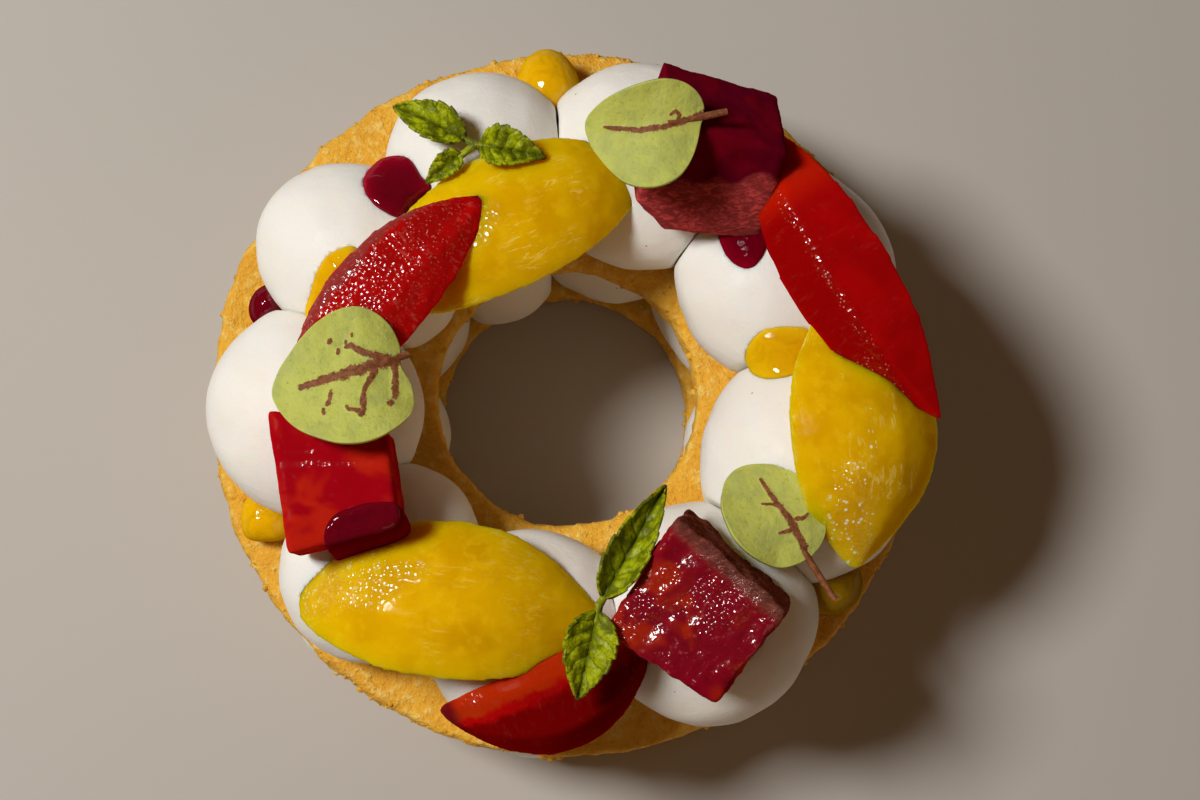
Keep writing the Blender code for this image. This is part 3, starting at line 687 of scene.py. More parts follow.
def cream_material(colours):
    recipe = Recipe("piped_cream")
    streaks = recipe.noise(5.0, 4.0, 0.55, 1.2, where=recipe.stretched((1.0, 1.0, 3.0)))
    warm = recipe.range(recipe.noise(11.0, 2.0), 0.38, 0.70)
    colour = recipe.blend(recipe.times(warm, 0.30), colours.cream, (0.88, 0.81, 0.68))
    flecks = recipe.range(recipe.cells(5.5), 0.020, 0.034, 1.0, 0.0)
    colour = recipe.blend(recipe.times(flecks, 0.75), colour, (0.20, 0.13, 0.07))
    fine = recipe.sum(recipe.noise(0.6, 3.0, 0.6), streaks, 1.6)
    recipe.set(
        Base_Color=colour, Roughness=recipe.range(streaks, 0.3, 0.7, 0.40, 0.56), Specular_IOR_Level=0.25,
        Normal=recipe.bump(fine, 0.06),
    )
    flesh_light(recipe, 0.40, (1.0, 0.62, 0.32), 3.0)
    return recipe.material


def yellow_fruit_material(colours, name, pale, painted_glint_dots, grain):
    """Golden flesh; pale and painted_glint_dots are how strongly its pale fibres and its
    painted glints (pale dots where it glistens) show, grain is how deep its grains are in mm."""
    recipe = Recipe(name)
    flesh = recipe.attribute("flesh", "Vector")
    side = recipe.attribute("side")
    fibres = recipe.noise(0.8, 4.0, 0.62, 0.8, where=recipe.stretched((0.25, 1.0, 1.0), where=flesh))
    clouds = recipe.range(recipe.noise(7.0, 3.0), 0.38, 0.66)
    colour = recipe.blend(clouds, colours.yellow_fruit, colours.yellow_deep)
    light = recipe.range(recipe.noise(2.2, 3.0, 0.6), 0.50, 0.68, 0.0, 0.45)
    colour = recipe.blend(light, colour, (0.86, 0.54, 0.008))
    edge = recipe.range(recipe.times(side, side), 0.60, 0.95)
    inside = recipe.range(recipe.noise(8.0, 2.0, 0.6), 0.50, 0.62, 0.0, 0.8)
    torn = recipe.times(recipe.range(fibres, 0.50, 0.64), recipe.sum(inside, edge))
    colour = recipe.blend(recipe.times(torn, pale), colour, colours.yellow_pale)
    relief = recipe.sum(recipe.times(fibres, 0.5), recipe.noise(2.2, 2.0), 0.6)
    # Painted glints: pale dots painted into the colour where the wedge glistens.
    painted_glints = recipe.range(recipe.cells(0.85), 0.38, 0.24)
    painted_glints = recipe.times(painted_glints, recipe.range(recipe.noise(1.3, 1.0), 0.46, 0.58))
    painted_glints = recipe.times(painted_glints, recipe.range(recipe.attribute("glint"), 0.2, 0.9))
    colour = recipe.blend(recipe.times(painted_glints, painted_glint_dots), colour, (1.0, 0.93, 0.60))
    grains = recipe.grains(0.85, recipe.attribute("glint"))
    normal = recipe.bump(relief, 0.06)
    recipe.set(Base_Color=colour, Roughness=recipe.range(fibres, 0.3, 0.7, 0.40, 0.54), Normal=normal)
    flesh_light(recipe, 0.80, (1.0, 0.55, 0.04), 7.5)
    wet_coat(recipe, 1.0, 0.15, recipe.bump(grains, grain, under=normal))
    return recipe.material


def red_fruit_material(colours, name, left, right, limits, end, painted_glint_dots, streaks, relief, coat):
    """Red flesh. left and right are its flanks' colours, and limits where they start, of
    its half width; end is its tip's colour; the rest is how strong each effect is."""
    recipe = Recipe(name)
    flesh = recipe.attribute("flesh", "Vector")
    glint = recipe.attribute("glint")
    tip = recipe.range(recipe.attribute("tip"), 0.35, 0.75)
    side = recipe.sum(recipe.attribute("side"), recipe.noise(3.5, 3.0, 0.6), 0.5)
    fibres = recipe.noise(0.7, 4.0, 0.62, 0.5, where=recipe.stretched((1.0, 0.30, 1.0), where=flesh))
    clouds = recipe.range(recipe.noise(7.0, 2.0, 0.4), 0.42, 0.62)
    colour = recipe.blend(recipe.times(clouds, 0.5), colours.red_fruit, [c * 0.66 for c in colours.red_fruit])
    flank_left = recipe.range(side, limits[0] + 0.20, limits[0] + 0.34)
    flank_right = recipe.range(side, limits[1] + 0.32, limits[1] + 0.14)
    colour = recipe.blend(flank_left, colour, left)
    colour = recipe.blend(flank_right, colour, right)
    colour = recipe.blend(recipe.times(tip, 0.85), colour, end)
    patch = recipe.range(recipe.noise(7.5, 1.0), 0.40, 0.54, 0.15, 1.0)
    torn = recipe.times(recipe.range(fibres, 0.54, 0.70), recipe.sum(patch, recipe.attribute("frayed"), 2.5))
    colour = recipe.blend(recipe.times(torn, streaks), colour, colours.red_pale)
    # Pale dots where the wedge glistens: partly its own pale grains, partly painted glints.
    spots = recipe.times(recipe.range(recipe.cells(0.62), 0.30, 0.12), glint)
    colour = recipe.blend(recipe.times(spots, painted_glint_dots), colour, colours.red_pale)
    waves = recipe.sum(recipe.times(fibres, 0.4), recipe.noise(2.2, 2.0), 0.9)
    normal = recipe.bump(waves, relief)
    recipe.set(Base_Color=colour, Roughness=recipe.range(fibres, 0.3, 0.7, 0.38, 0.52), Normal=normal)
    flesh_light(recipe, 0.60, (1.0, 0.06, 0.04), 4.0)
    wet_coat(recipe, coat, 0.12, recipe.bump(recipe.grains(0.76, glint), 0.22, under=normal))
    return recipe.material


def cube_material(name, base, warm, cut, share, specked_and_sheen, grain, relief, coat):
    """A dark red cube of jellied fruit. cut is the colour of the rough cut side; share,
    specked_and_sheen, grain, relief and coat are how strong the warm colour, the pale specks with their
    painted sheen, and the rest are."""
    recipe = Recipe(name)
    torn = recipe.attribute("cut")
    clouds = recipe.range(recipe.noise(7.0, 2.0, 0.5, 0.6), 0.46, 0.62)
    colour = recipe.blend(recipe.times(clouds, share), base, warm)
    fibres = recipe.noise(0.8, 4.0, 0.65, 1.2, where=recipe.stretched((0.50, 1.0, 1.0)))
    # Pale specks: partly the fruit's own pale flecks, partly a painted pinkish sheen.
    specks_and_sheen = recipe.range(recipe.noise(0.9, 3.0, 0.6), 0.60, 0.76)
    colour = recipe.blend(recipe.times(specks_and_sheen, specked_and_sheen), colour, (0.40, 0.07, 0.06))
    rough = recipe.blend(recipe.range(fibres, 0.42, 0.70), [c * 0.42 for c in cut], cut)
    colour = recipe.blend(torn, colour, rough)
    waves = recipe.sum(recipe.noise(2.4, 3.0, 0.5), recipe.times(fibres, torn), 1.2)
    patch = recipe.range(recipe.noise(6.0, 1.0), 0.42, 0.56)
    normal = recipe.bump(waves, relief)
    recipe.set(Base_Color=colour, Roughness=recipe.range(fibres, 0.3, 0.7, 0.40, 0.56), Normal=normal)
    flesh_light(recipe, 0.50, (1.0, 0.06, 0.05), 3.0)
    patch = recipe.times(patch, recipe.attribute("glint"))
    wet_coat(recipe, coat, 0.14, recipe.bump(recipe.grains(0.66, patch), grain, under=normal))
    return recipe.material


def gel_material(name, colour, thin, radius):
    """A clear drop, brighter where it thins out towards its rim."""
    recipe = Recipe(name)
    swirl = recipe.noise(3.4, 2.0, 0.5, 1.6)
    tint = recipe.blend(recipe.range(swirl, 0.42, 0.62, 0.0, 0.40), colour, [c * 0.75 for c in colour])
    tint = recipe.blend(recipe.times(recipe.attribute("thin"), 0.7), tint, thin)
    normal = recipe.bump(swirl, 0.25)
    recipe.set(Base_Color=tint, Roughness=recipe.range(swirl, 0.3, 0.7, 0.20, 0.30), Normal=normal)
    flesh_light(recipe, 0.5, radius, 2.8)
    wet_coat(recipe, 0.9, 0.04, normal)
    return recipe.material


def leaf_material(colours):
    recipe = Recipe("round_leaf_skin")
    vein = recipe.attribute("vein")
    patch = recipe.range(recipe.noise(4.2, 3.0, 0.60), 0.46, 0.62)
    mottled = recipe.noise(0.7, 3.0, 0.65)
    colour = recipe.blend(recipe.times(patch, 0.45), colours.leaf, (0.37, 0.41, 0.13))
    colour = recipe.blend(recipe.range(mottled, 0.52, 0.72, 0.0, 0.40), colour, (0.53, 0.52, 0.17))
    colour = recipe.blend(recipe.range(mottled, 0.44, 0.30, 0.0, 0.45), colour, (0.30, 0.32, 0.06))
    spots = recipe.range(recipe.cells(1.9), 0.05, 0.12, 1.0, 0.0)
    spots = recipe.times(spots, recipe.range(recipe.noise(6.0, 1.0), 0.52, 0.62))
    colour = recipe.blend(recipe.times(spots, 0.6), colour, (0.26, 0.22, 0.08))
    ragged = recipe.sum(recipe.sum(vein, recipe.noise(0.8, 3.0, 0.6), 0.90), recipe.noise(0.3, 2.0), 0.50)
    torn = recipe.range(ragged, 1.12, 1.34)
    vein_colour = recipe.blend(recipe.range(mottled, 0.40, 0.64), colours.leaf_vein, (0.28, 0.065, 0.038))
    colour = recipe.blend(recipe.times(torn, 0.92), colour, vein_colour)
    relief = recipe.sum(mottled, recipe.noise(2.4, 2.0), 1.5)
    recipe.set(
        Base_Color=colour, Roughness=recipe.range(mottled, 0.3, 0.7, 0.50, 0.66), Specular_IOR_Level=0.2,
        Normal=recipe.bump(relief, 0.14),
    )
    flesh_light(recipe, 0.20, (0.6, 0.9, 0.2), 1.0)
    return recipe.material


def mint_material(colours):
    recipe = Recipe("mint_skin")
    vein = recipe.attribute("vein")
    mottled = recipe.noise(0.6, 3.0, 0.6)
    # Painted light and shade: raised cells between the veins painted lighter, the vein grooves darker, with
    # paler patches at random.
    light = recipe.range(recipe.noise(2.6, 3.0, 0.6), 0.40, 0.60, 0.15, 1.0)
    raised_painted_light = recipe.times(recipe.range(vein, 0.0, 0.8, 0.9, 0.15), light)
    colour = recipe.blend(raised_painted_light, colours.mint, colours.mint_painted_light)
    colour = recipe.blend(recipe.range(mottled, 0.46, 0.68, 0.0, 0.5), colour, colours.mint)
    relief = recipe.sum(mottled, recipe.noise(1.2, 2.0), 0.8)
    recipe.set(
        Base_Color=colour, Roughness=recipe.range(mottled, 0.3, 0.7, 0.32, 0.46), Specular_IOR_Level=0.22,
        Normal=recipe.bump(relief, 0.18),
    )
    flesh_light(recipe, 0.15, (0.5, 0.9, 0.1), 0.8)
    return recipe.material


def floor_material(colours):
    recipe = Recipe("studio_floor")
    fine = recipe.noise(40.0, 3.0)
    colour = recipe.blend(recipe.times(fine, 0.2), colours.floor, [c * 0.95 for c in colours.floor])
    recipe.set(Base_Color=colour, Roughness=0.75)
    return recipe.material


# ---------------------------------------------------------------- biscuits
def biscuit_ring(name, bottom, sizes):
    """A flat ring: a circle drawn inwards, raised, its edges worn and its rim crumbly."""
    bpy.ops.mesh.primitive_circle_add(vertices=180, radius=sizes.ring_outer, location=(0, 0, bottom))
    ring = bpy.context.active_object
    ring.name = name
    freeze(ring)
    inward = sizes.ring_inner / sizes.ring_outer
    bpy.ops.object.mode_set(mode="EDIT")
    bpy.ops.mesh.select_all(action="SELECT")
    bpy.ops.mesh.extrude_edges_move()
    bpy.ops.transform.resize(value=(inward, inward, 1.0))
    bpy.ops.mesh.select_all(action="SELECT")
    bpy.ops.mesh.extrude_region_move(TRANSFORM_OT_translate={"value": (0, 0, sizes.biscuit)})
    bpy.ops.mesh.select_all(action="SELECT")
    bpy.ops.mesh.normals_make_consistent(inside=False)
    bpy.ops.object.mode_set(mode="OBJECT")
    worn = ring.modifiers.new("Worn edges", "BEVEL")
    worn.width = RIM_EDGE
    worn.segments = 3
    apply_modifiers(ring)
    even_out(ring, sizes.biscuit_grain, 1)
    low, high = bottom, bottom + sizes.biscuit
    before = corners_of(ring)
    roughen(ring, 5.0 * MM, 0.9 * MM, detail=1)
    roughen(ring, 1.6 * MM, 0.75 * MM, detail=3)
    corners = corners_of(ring)
    corners[:, 2] = np.clip(corners[:, 2], low - 0.02 * MM, high)
    still = np.abs(before[:, 2] - low) < 0.3 * MM
    corners[still, 2] = before[still, 2]
    set_corners(ring, corners)
    return ring


def scatter_crumbs(rings, sizes):
    """Loose crumbs that cling to the rims, joined into one piece."""
    chance = random.Random(7)
    bpy.ops.mesh.primitive_ico_sphere_add(subdivisions=1, radius=1)
    pattern = bpy.context.active_object
    pattern.name = "crumb_pattern"
    tree = surface_tree(rings)
    crumbs = []
    for _ in range(sizes.crumbs):
        turn = chance.uniform(0, math.tau)
        level = chance.choice([0.0, sizes.biscuit + sizes.lower_cream])
        height = level + chance.uniform(0.25, 0.98) * sizes.biscuit
        outside = chance.random() < 0.75
        start = Vector((math.cos(turn), math.sin(turn), 0)) * (0.08 if outside else 0.0)
        aim = Vector((math.cos(turn), math.sin(turn), 0)) * (-1 if outside else 1)
        point = tree.ray_cast(start + Vector((0, 0, height)), aim)[0]
        if point is None:
            continue
        crumb = pattern.copy()
        crumb.data = pattern.data.copy()
        bpy.context.scene.collection.objects.link(crumb)
        size = 0.25 + 0.75 * chance.random() ** 3
        crumb.scale = Vector([size * chance.uniform(0.7, 1.2) for _ in range(3)]) * MM * 0.75
        crumb.rotation_euler = [chance.uniform(0, math.tau) for _ in range(3)]
        crumb.location = point
        crumbs.append(crumb)
    discard(pattern)
    for crumb in crumbs:
        corners = corners_of(crumb)
        bend = [1 + 0.3 * noise.noise(Vector(corner) * 3 + crumb.location * 1000) for corner in corners]
        set_corners(crumb, corners * np.array(bend)[:, None])
    choose(*crumbs)
    bpy.ops.object.join()
    joined = bpy.context.active_object
    joined.name = "fine_biscuit_crumbs"
    return freeze(joined)


# ---------------------------------------------------------------- cream
def press_between(dome, first, last):
    """Flatten a dome's two sides where it meets its neighbours."""
    for edge, side in ((first, 1), (last, -1)):
        turn = math.radians(edge)
        outward = Vector((math.sin(turn), -math.cos(turn), 0)) * side
        slice_off(dome, outward * -PRESSED / 2, outward)


def dome_at(dome, first, last, inner, outer, bottom, height):
    """Stretch a unit dome to its size and stand it in its place on the ring."""
    middle = math.radians((first + last) / 2)
    centre = (inner + outer) / 2
    across = centre * math.tan(math.radians((last - first) / 2)) * DOME_PRESS
    dome.scale = Vector(((outer - inner) / 2, across, height)) * MM
    freeze(dome)
    dome.matrix_world = Matrix.Rotation(middle, 4, "Z") @ Matrix.Translation((centre * MM, 0, bottom))
    freeze(dome)
    press_between(dome, first, last)


def upper_dome(number, sizes, above):
    first, last, inner, outer, height = UPPER_DOMES[number]
    bottom = 2 * sizes.biscuit + sizes.lower_cream + GAP
    dome = add_ball(f"fine_upper_cream_{number + 1}", (1, 1, 1), 96, 64)
    corners = corners_of(dome)
    foot = math.sin(math.radians(UPPER_FOOT))
    corners[:, 2] = np.where(
        corners[:, 2] > 0, corners[:, 2] * (1 - UPPER_WIDEST), corners[:, 2] * UPPER_WIDEST / foot
    )
    set_corners(dome, corners)
    slice_off(dome, (0, 0, -UPPER_WIDEST), (0, 0, -1))
    corners = corners_of(dome) + (0, 0, UPPER_WIDEST)
    set_corners(dome, corners)
    dome_at(dome, first, last, inner, outer, bottom, height)
    even_out(dome, sizes.cream_grain, 11)
    roughen(dome, 9.0 * MM, 0.9 * MM, detail=1)
    roughen(dome, 2.6 * MM, 0.10 * MM, detail=2)
    corners = corners_of(dome)
    corners[:, 2] = np.maximum(corners[:, 2], bottom)
    set_corners(dome, corners)
    return make_room(dome, above, PRESSED)


def lower_dome(number, sizes):
    middle, inner, outer = LOWER_DOMES[number]
    count = len(LOWER_DOMES)
    before = LOWER_DOMES[number - 1][0] - (360 if number == 0 else 0)
    after = LOWER_DOMES[(number + 1) % count][0] + (360 if number == count - 1 else 0)
    bottom, top = sizes.biscuit + GAP, sizes.biscuit + sizes.lower_cream - GAP
    upright = 0.5 / math.sin(math.radians(LOWER_FOOT))
    dome = add_ball(f"fine_lower_cream_{number + 1}", (1, 1, upright), 64, 48)
    slice_off(dome, (0, 0, 0.5), (0, 0, 1))
    slice_off(dome, (0, 0, -0.5), (0, 0, -1))
    corners = corners_of(dome) + (0, 0, 0.5)
    set_corners(dome, corners)
    height = (top - bottom) / MM
    dome_at(dome, (before + middle) / 2, (middle + after) / 2, inner, outer, bottom, height)
    even_out(dome, sizes.cream_grain * LOWER_GRAIN, 3)
    roughen(dome, 8.0 * MM, 0.9 * MM, detail=1)
    roughen(dome, 2.6 * MM, 0.2 * MM, detail=2)
    corners = corners_of(dome)
    corners[:, 2] = np.clip(corners[:, 2], bottom, top)
    set_corners(dome, corners)
    return dome


# ---------------------------------------------------------------- fruit
def flatten_between(obj, ridges, flatness):
    """Flatten a ball's skin between ridges that run along X."""
    corners = corners_of(obj)
    turn = np.degrees(np.arctan2(corners[:, 1], corners[:, 2]))
    edges = [-WEDGE_SIDE, *ridges, WEDGE_SIDE]
    shrink = np.ones(len(turn))
    for low, high in zip(edges[:-1], edges[1:]):
        middle, half = (low + high) / 2, (high - low) / 2
        flat = np.cos(np.radians(half)) / np.cos(np.radians(turn - middle))
        shrink = np.where((turn > low) & (turn < high), 1 + flatness * (flat - 1), shrink)
    corners[:, 1:] *= shrink[:, None]
    set_corners(obj, corners)


def fruit_wedge(name, place, grain, relief, ridges, flatness):
    """A wedge cut from a long round fruit: skin up, its stone side flat below."""
    x, y, z, heading, roll, pitch, length, width, height, back, front, bow = place
    half_angle = math.radians(WEDGE_HALF_ANGLE)
    radius = width / 2 / math.sin(half_angle)
    depth = radius - height / 2
    wedge = add_ball(name, Vector((length / 2, radius, radius)) * MM, 128, 64)
    if ridges:
        flatten_between(wedge, ridges, flatness)
    set_corners(wedge, corners_of(wedge) - (0, 0, depth * MM))
    slice_off(wedge, (0, 0, -height / 2 * MM), (0, 0, -1))
    for side in (-1, 1):
        outward = Vector((0, side * math.cos(half_angle), -math.sin(half_angle)))
        slice_off(wedge, outward * depth * math.sin(half_angle) * MM, outward)
    even_out(wedge, grain, 6 if ridges else 8)
    point_ends(wedge, back, front, bow * MM)
    put(wedge, x, y, z, roll, pitch, heading)
    for size, depth_mm in relief:
        roughen(wedge, size * MM, depth_mm * MM, detail=2)
    return wedge


def own_places(obj, place, turns):
    """The piece's corners in mm, as they were before it was turned and moved."""
    turn = Euler([math.radians(angle) for angle in turns]).to_matrix()
    return (corners_of(obj) / MM - np.array(place)) @ np.array(turn)


def mark(obj, name, values):
    """Keep values with the corners, for the material to read."""
    vectors = np.ndim(values) == 2
    attribute = obj.data.attributes.new(name, "FLOAT_VECTOR" if vectors else "FLOAT", "POINT")
    attribute.data.foreach_set("vector" if vectors else "value", np.asarray(values, np.float32).ravel())


def mark_glaze(obj):
    """Note where the glaze was brushed on: on what faces up."""
    normals = np.empty(len(obj.data.vertices) * 3, np.float32)
    obj.data.vertex_normals.foreach_get("vector", normals)
    mark(obj, "glaze", np.clip((normals.reshape(-1, 3)[:, 2] - 0.50) / 0.35, 0, 1))


def mark_glints(obj, own, glints):
    """Note how near a place that glistens each corner lies."""
    glint = np.zeros(len(own))
    for first, last, across, reach in glints:
        away = np.hypot(own[:, 0] - np.clip(own[:, 0], first, last), own[:, 1] - across)
        glint = np.maximum(glint, np.clip(1.5 - away / reach, 0, 1))
    mark(obj, "glint", glint)
    mark_glaze(obj)


def mark_flesh(wedge, place, shift, glints):
    """Note how far along the wedge, round it and out of its core each corner lies, and
    how near a place that glistens."""
    x, y, z, heading, roll, pitch, _, width, height = place[:9]
    radius = width / 2 / math.sin(math.radians(WEDGE_HALF_ANGLE))
    own = own_places(wedge, (x, y, z), (roll, pitch, heading))
    core = own[:, 2] + radius - height / 2
    turn = np.arctan2(own[:, 1], core)
    mark(wedge, "flesh", np.column_stack([own[:, 0] + shift, turn * radius, np.hypot(own[:, 1], core)]) * MM)
    mark(wedge, "side", turn / math.radians(WEDGE_TURN))
    mark_glints(wedge, own, glints)
    return own[:, 0]


def fruit_cube(name, place, grain, rounds, relief, cut, glints):
    """A cut cube with four sides at their own headings and soft edges. cut is the way
    out of its rough side, that side's distance from the middle and its own y limit."""
    x, y, z, tilt_x, tilt_y, height, sides = place
    bpy.ops.mesh.primitive_cube_add(size=1)
    cube = bpy.context.active_object
    cube.name = name
    cube.scale = Vector((40, 40, height)) * MM
    freeze(cube)
    for heading, distance in sides:
        angle = math.radians(heading)
        outward = Vector((math.cos(angle), math.sin(angle), 0))
        slice_off(cube, outward * distance * MM, outward)
    even_out(cube, grain, rounds)
    put(cube, x, y, z, tilt_x, tilt_y)
    for size, depth in relief:
        roughen(cube, size * MM, depth * MM, detail=2)
    outward, distance, limit = cut
    own = own_places(cube, (x, y, z), (tilt_x, tilt_y, 0))
    on_side = np.clip((own @ np.array(outward) - distance + 2.6) / 1.4, 0, 1)
    ragged = np.array([noise.noise(Vector(point) / 3.0) for point in own])
    mark(cube, "cut", on_side * np.clip((limit - own[:, 1]) / 1.5 + 2.0 * ragged, 0, 1))
    mark_glints(cube, own, glints)
    return cube


def standing_drop(name, place, sizes):
    """A drop of gel, pointed where it was pulled off, flat where it stands on the biscuit."""
    x, y, z, heading, length, width, height, front, square = place
    floor = 2 * sizes.biscuit + sizes.lower_cream + GAP
    drop = add_ball(name, (1, 1, 1), 64, 32)
    corners = corners_of(drop)
    plan = np.abs(corners[:, :2]) ** square
    plan = (plan.sum(1) ** (1 / square)) / np.maximum(np.linalg.norm(corners[:, :2], axis=1), 1e-6)
    corners[:, :2] /= np.maximum(plan, 1e-6)[:, None]
    set_corners(drop, corners * np.array((length, width, height)) * MM / 2)
    foot = z * MM - floor
    if foot < height / 2 * MM:
        slice_off(drop, (0, 0, -foot), (0, 0, -1))
    even_out(drop, sizes.gel_grain, 4)
    point_ends(drop, 0.0, front, 0.0)
    return put(drop, x, y, z, heading=heading)


def heights_at(places, objects):
    """Height in mm of what is uppermost at each place, 0 where there is nothing."""
    tree = surface_tree(objects)
    down = Vector((0, 0, -1))
    hits = [tree.ray_cast(Vector((x * MM, y * MM, HIGH_UP)), down)[0] for x, y in places]
    return np.array([0.0 if hit is None else hit.z / MM for hit in hits])


def rim_reach(turn, outline):
    """How far a softened outline reaches from its middle towards each heading."""
    points = np.array(outline + outline[:1])
    steps = np.linspace(0, 1, 12, endpoint=False)[:, None]
    rim = np.concatenate([a + (b - a) * steps for a, b in zip(points[:-1], points[1:])])
    heading = np.arctan2(rim[:, 1], rim[:, 0])
    near = np.exp(-((np.angle(np.exp(1j * (turn[:, None] - heading))) / 0.14) ** 2))
    return (near * np.hypot(rim[:, 0], rim[:, 1])).sum(1) / near.sum(1)


def ground_under(places, cream, fruit, over_fruit):
    """Height in mm of what a drop runs over, closely and widely smoothed, with grooves
    and gaps bridged. A drop that lies on cream alone takes no height from fruit."""
    low, high = places.min(0) - GROUND_MARGIN, places.max(0) + GROUND_MARGIN
    sides = [np.arange(low[axis], high[axis], GROUND_STEP) for axis in (0, 1)]
    spots = np.stack(np.meshgrid(*sides), -1).reshape(-1, 2)
    on_cream, on_fruit = heights_at(spots, cream), heights_at(spots, fruit)
    known = np.ones(len(spots), bool) if over_fruit else on_cream > on_fruit
    level = np.where(known, np.maximum(on_cream, on_fruit), 0)
    apart = ((spots[:, None, :] - spots[None, :, :]) ** 2).sum(2)
    near = apart < (GROUND_BRIDGE_OVER_FRUIT if over_fruit else GROUND_BRIDGE) ** 2
    level = np.where(near, level[None, :], 0).max(1)
    if not over_fruit:
        level = np.where(near & known[None, :], level[None, :], 99).min(1)
    away = ((places[:, None, :] - spots[None, :, :]) ** 2).sum(2)
    smoothed = []
    for blur in GROUND_SMOOTHED:
        weight = (np.exp(-away / blur ** 2) + 1e-5 * np.exp(-away / 36)) * known
        smoothed.append((weight * level).sum(1) / weight.sum(1))
    return smoothed


def spread_drop(name, place, cream, fruit, sizes):
    """A drop of gel that has run out to its own outline, over cream alone or over fruit."""
    x, y, thick, root, outline = place
    bpy.ops.mesh.primitive_uv_sphere_add(segments=96, ring_count=40, radius=1)
    drop = bpy.context.active_object
    drop.name = name
    corners = corners_of(drop)
    turn = np.arctan2(corners[:, 1], corners[:, 0])
    out = np.hypot(corners[:, 0], corners[:, 1])
    reach = rim_reach(turn, outline)
    flat = np.column_stack([np.cos(turn) * out * reach + x, np.sin(turn) * out * reach + y])
    close, wide = ground_under(flat, cream, fruit, root > OVER_FRUIT)
    lens = np.abs(corners[:, 2]) ** 0.85
    top = close * out ** 2 + wide * (1 - out ** 2) + thick * lens
    top = np.maximum(top, close + 0.4 * thick * lens)
    height = np.where(corners[:, 2] > 0, top, close - root * lens ** 0.2)
    set_corners(drop, np.column_stack([flat, height]) * MM)
    return even_out(drop, sizes.gel_grain, 3)


def mark_thin(drop, middle, reach, shine=1.0):
    """Note how near its rim each corner of a drop lies, and how it shines."""
    away = np.hypot(*((corners_of(drop)[:, :2] / MM - np.array(middle)) / reach).T)
    mark(drop, "thin", np.clip(away, 0, 1) ** 4)
    mark(drop, "glint", np.full(len(away), shine))
    mark_glaze(drop)


# ---------------------------------------------------------------- leaves
def rod(name, points, radius):
    """A thin round stem along a few points."""
    curve = bpy.data.curves.new(name, "CURVE")
    curve.dimensions = "3D"
    curve.bevel_depth = radius
    curve.bevel_resolution = 3
    curve.resolution_u = 6
    curve.use_fill_caps = True
    spline = curve.splines.new("NURBS")
    spline.points.add(len(points) - 1)
    for i, (target, point) in enumerate(zip(spline.points, points)):
        target.co = (*point, 1)
        target.radius = 1.0 - 0.25 * i / len(points)
    spline.use_endpoint_u = True
    spline.order_u = min(4, len(points))
    stem = bpy.data.objects.new(name, curve)
    bpy.context.scene.collection.objects.link(stem)
    choose(stem)
    bpy.ops.object.convert(target="MESH")
    return bpy.context.active_object


def reach_towards(angles, reaches):
    """Smooth closed curve through reaches at equal steps of heading."""
    count = len(reaches)
    spot = (angles % math.tau) / math.tau * count
    i = np.floor(spot).astype(int)
    t = spot - i
    table = np.array(reaches, float)
    a, b, c, d = (table[(i + k) % count] for k in (-1, 0, 1, 2))
    return b + 0.5 * t * (c - a + t * (2 * a - 5 * b + 4 * c - d + t * (3 * (b - c) + d - a)))


def nearness(points, line):
    """1 along the middle of a line of points with half widths, 0.5 at its edge, then less."""
    best = np.zeros(len(points))
    for start, end in zip(line[:-1], line[1:]):
        first, along = np.array(start[:2]), np.array(end[:2]) - np.array(start[:2])
        t = np.clip(((points - first) @ along) / (along @ along), 0, 1)
        away = np.linalg.norm(points - first - t[:, None] * along, axis=1)
        best = np.maximum(best, 1 - away / (2 * (start[2] + (end[2] - start[2]) * t)))
    return best


def round_leaf(name, number, sizes):
    """A wavy blade drawn out from a grid to its own outline, with raised veins."""
    middle, turns, stem, fold, reaches, bend, veins = ROUND_LEAVES[number]
    bpy.ops.mesh.primitive_grid_add(x_subdivisions=ROUND_LEAF_CUTS, y_subdivisions=ROUND_LEAF_CUTS, size=2)
    blade = bpy.context.active_object
    blade.name = name
    corners = corners_of(blade)
    u, v = corners[:, 0], corners[:, 1]
    x, y = u * np.sqrt(1 - v * v / 2), v * np.sqrt(1 - u * u / 2)
    reach = reach_towards(np.arctan2(y, x), reaches)
    flat = np.stack([x * reach, y * reach], axis=1)
    widest = max(reaches)
    vein = np.zeros(len(flat))
    for line in veins:
        vein = np.maximum(vein, nearness(flat, line))
    wave = np.array([noise.noise(Vector((a, b, number + 5.0)) / 6.0) for a, b in flat])
    fine = np.array([noise.noise(Vector((a, b, number + 9.0)) / 2.2) for a, b in flat])
    cup = LEAF_CUP * (flat[:, 1] / widest) ** 2
    arch = -LEAF_ARCH * (flat[:, 0] / widest) ** 2
    sagging = -bend * MM * np.clip(-flat[:, 0] / widest - 0.35, 0, 1) ** 1.5
    valley = fold * MM * (np.hypot(flat[:, 1] + 0.9, 0.5) - 2.5)
    height = cup + arch + sagging + valley + LEAF_WAVE * wave + 0.12 * MM * fine + 0.12 * MM * vein
    set_corners(blade, np.column_stack([flat * MM, height]))
    mark(blade, "vein", vein)
    thick = blade.modifiers.new("Thickness", "SOLIDIFY")
    thick.thickness = sizes.leaf_thickness
    thick.offset = 0.0
    apply_modifiers(blade)
    base = -reaches[len(reaches) // 2]
    droop = 0.15 * stem
    stalk = rod(f"{name}_stem", [
        Vector((base + 4.5, -0.9, -0.4)) * MM,
        Vector((base + 1.5, -1.2, -1.1)) * MM,
        Vector((base - stem * 0.5, -1.4, -1.5 - droop * 0.5)) * MM,
        Vector((base - stem, -1.6, -1.5 - droop)) * MM,
    ], sizes.stem_radius)
    mark(stalk, "vein", np.ones(len(stalk.data.vertices)))
    choose(stalk, blade)
    bpy.ops.object.join()
    height_mm = TUCKED_LEAF_HEIGHT if number == TUCKED_LEAF else 0.0
    return put(blade, *middle, height_mm, turns[1], turns[2], turns[0])


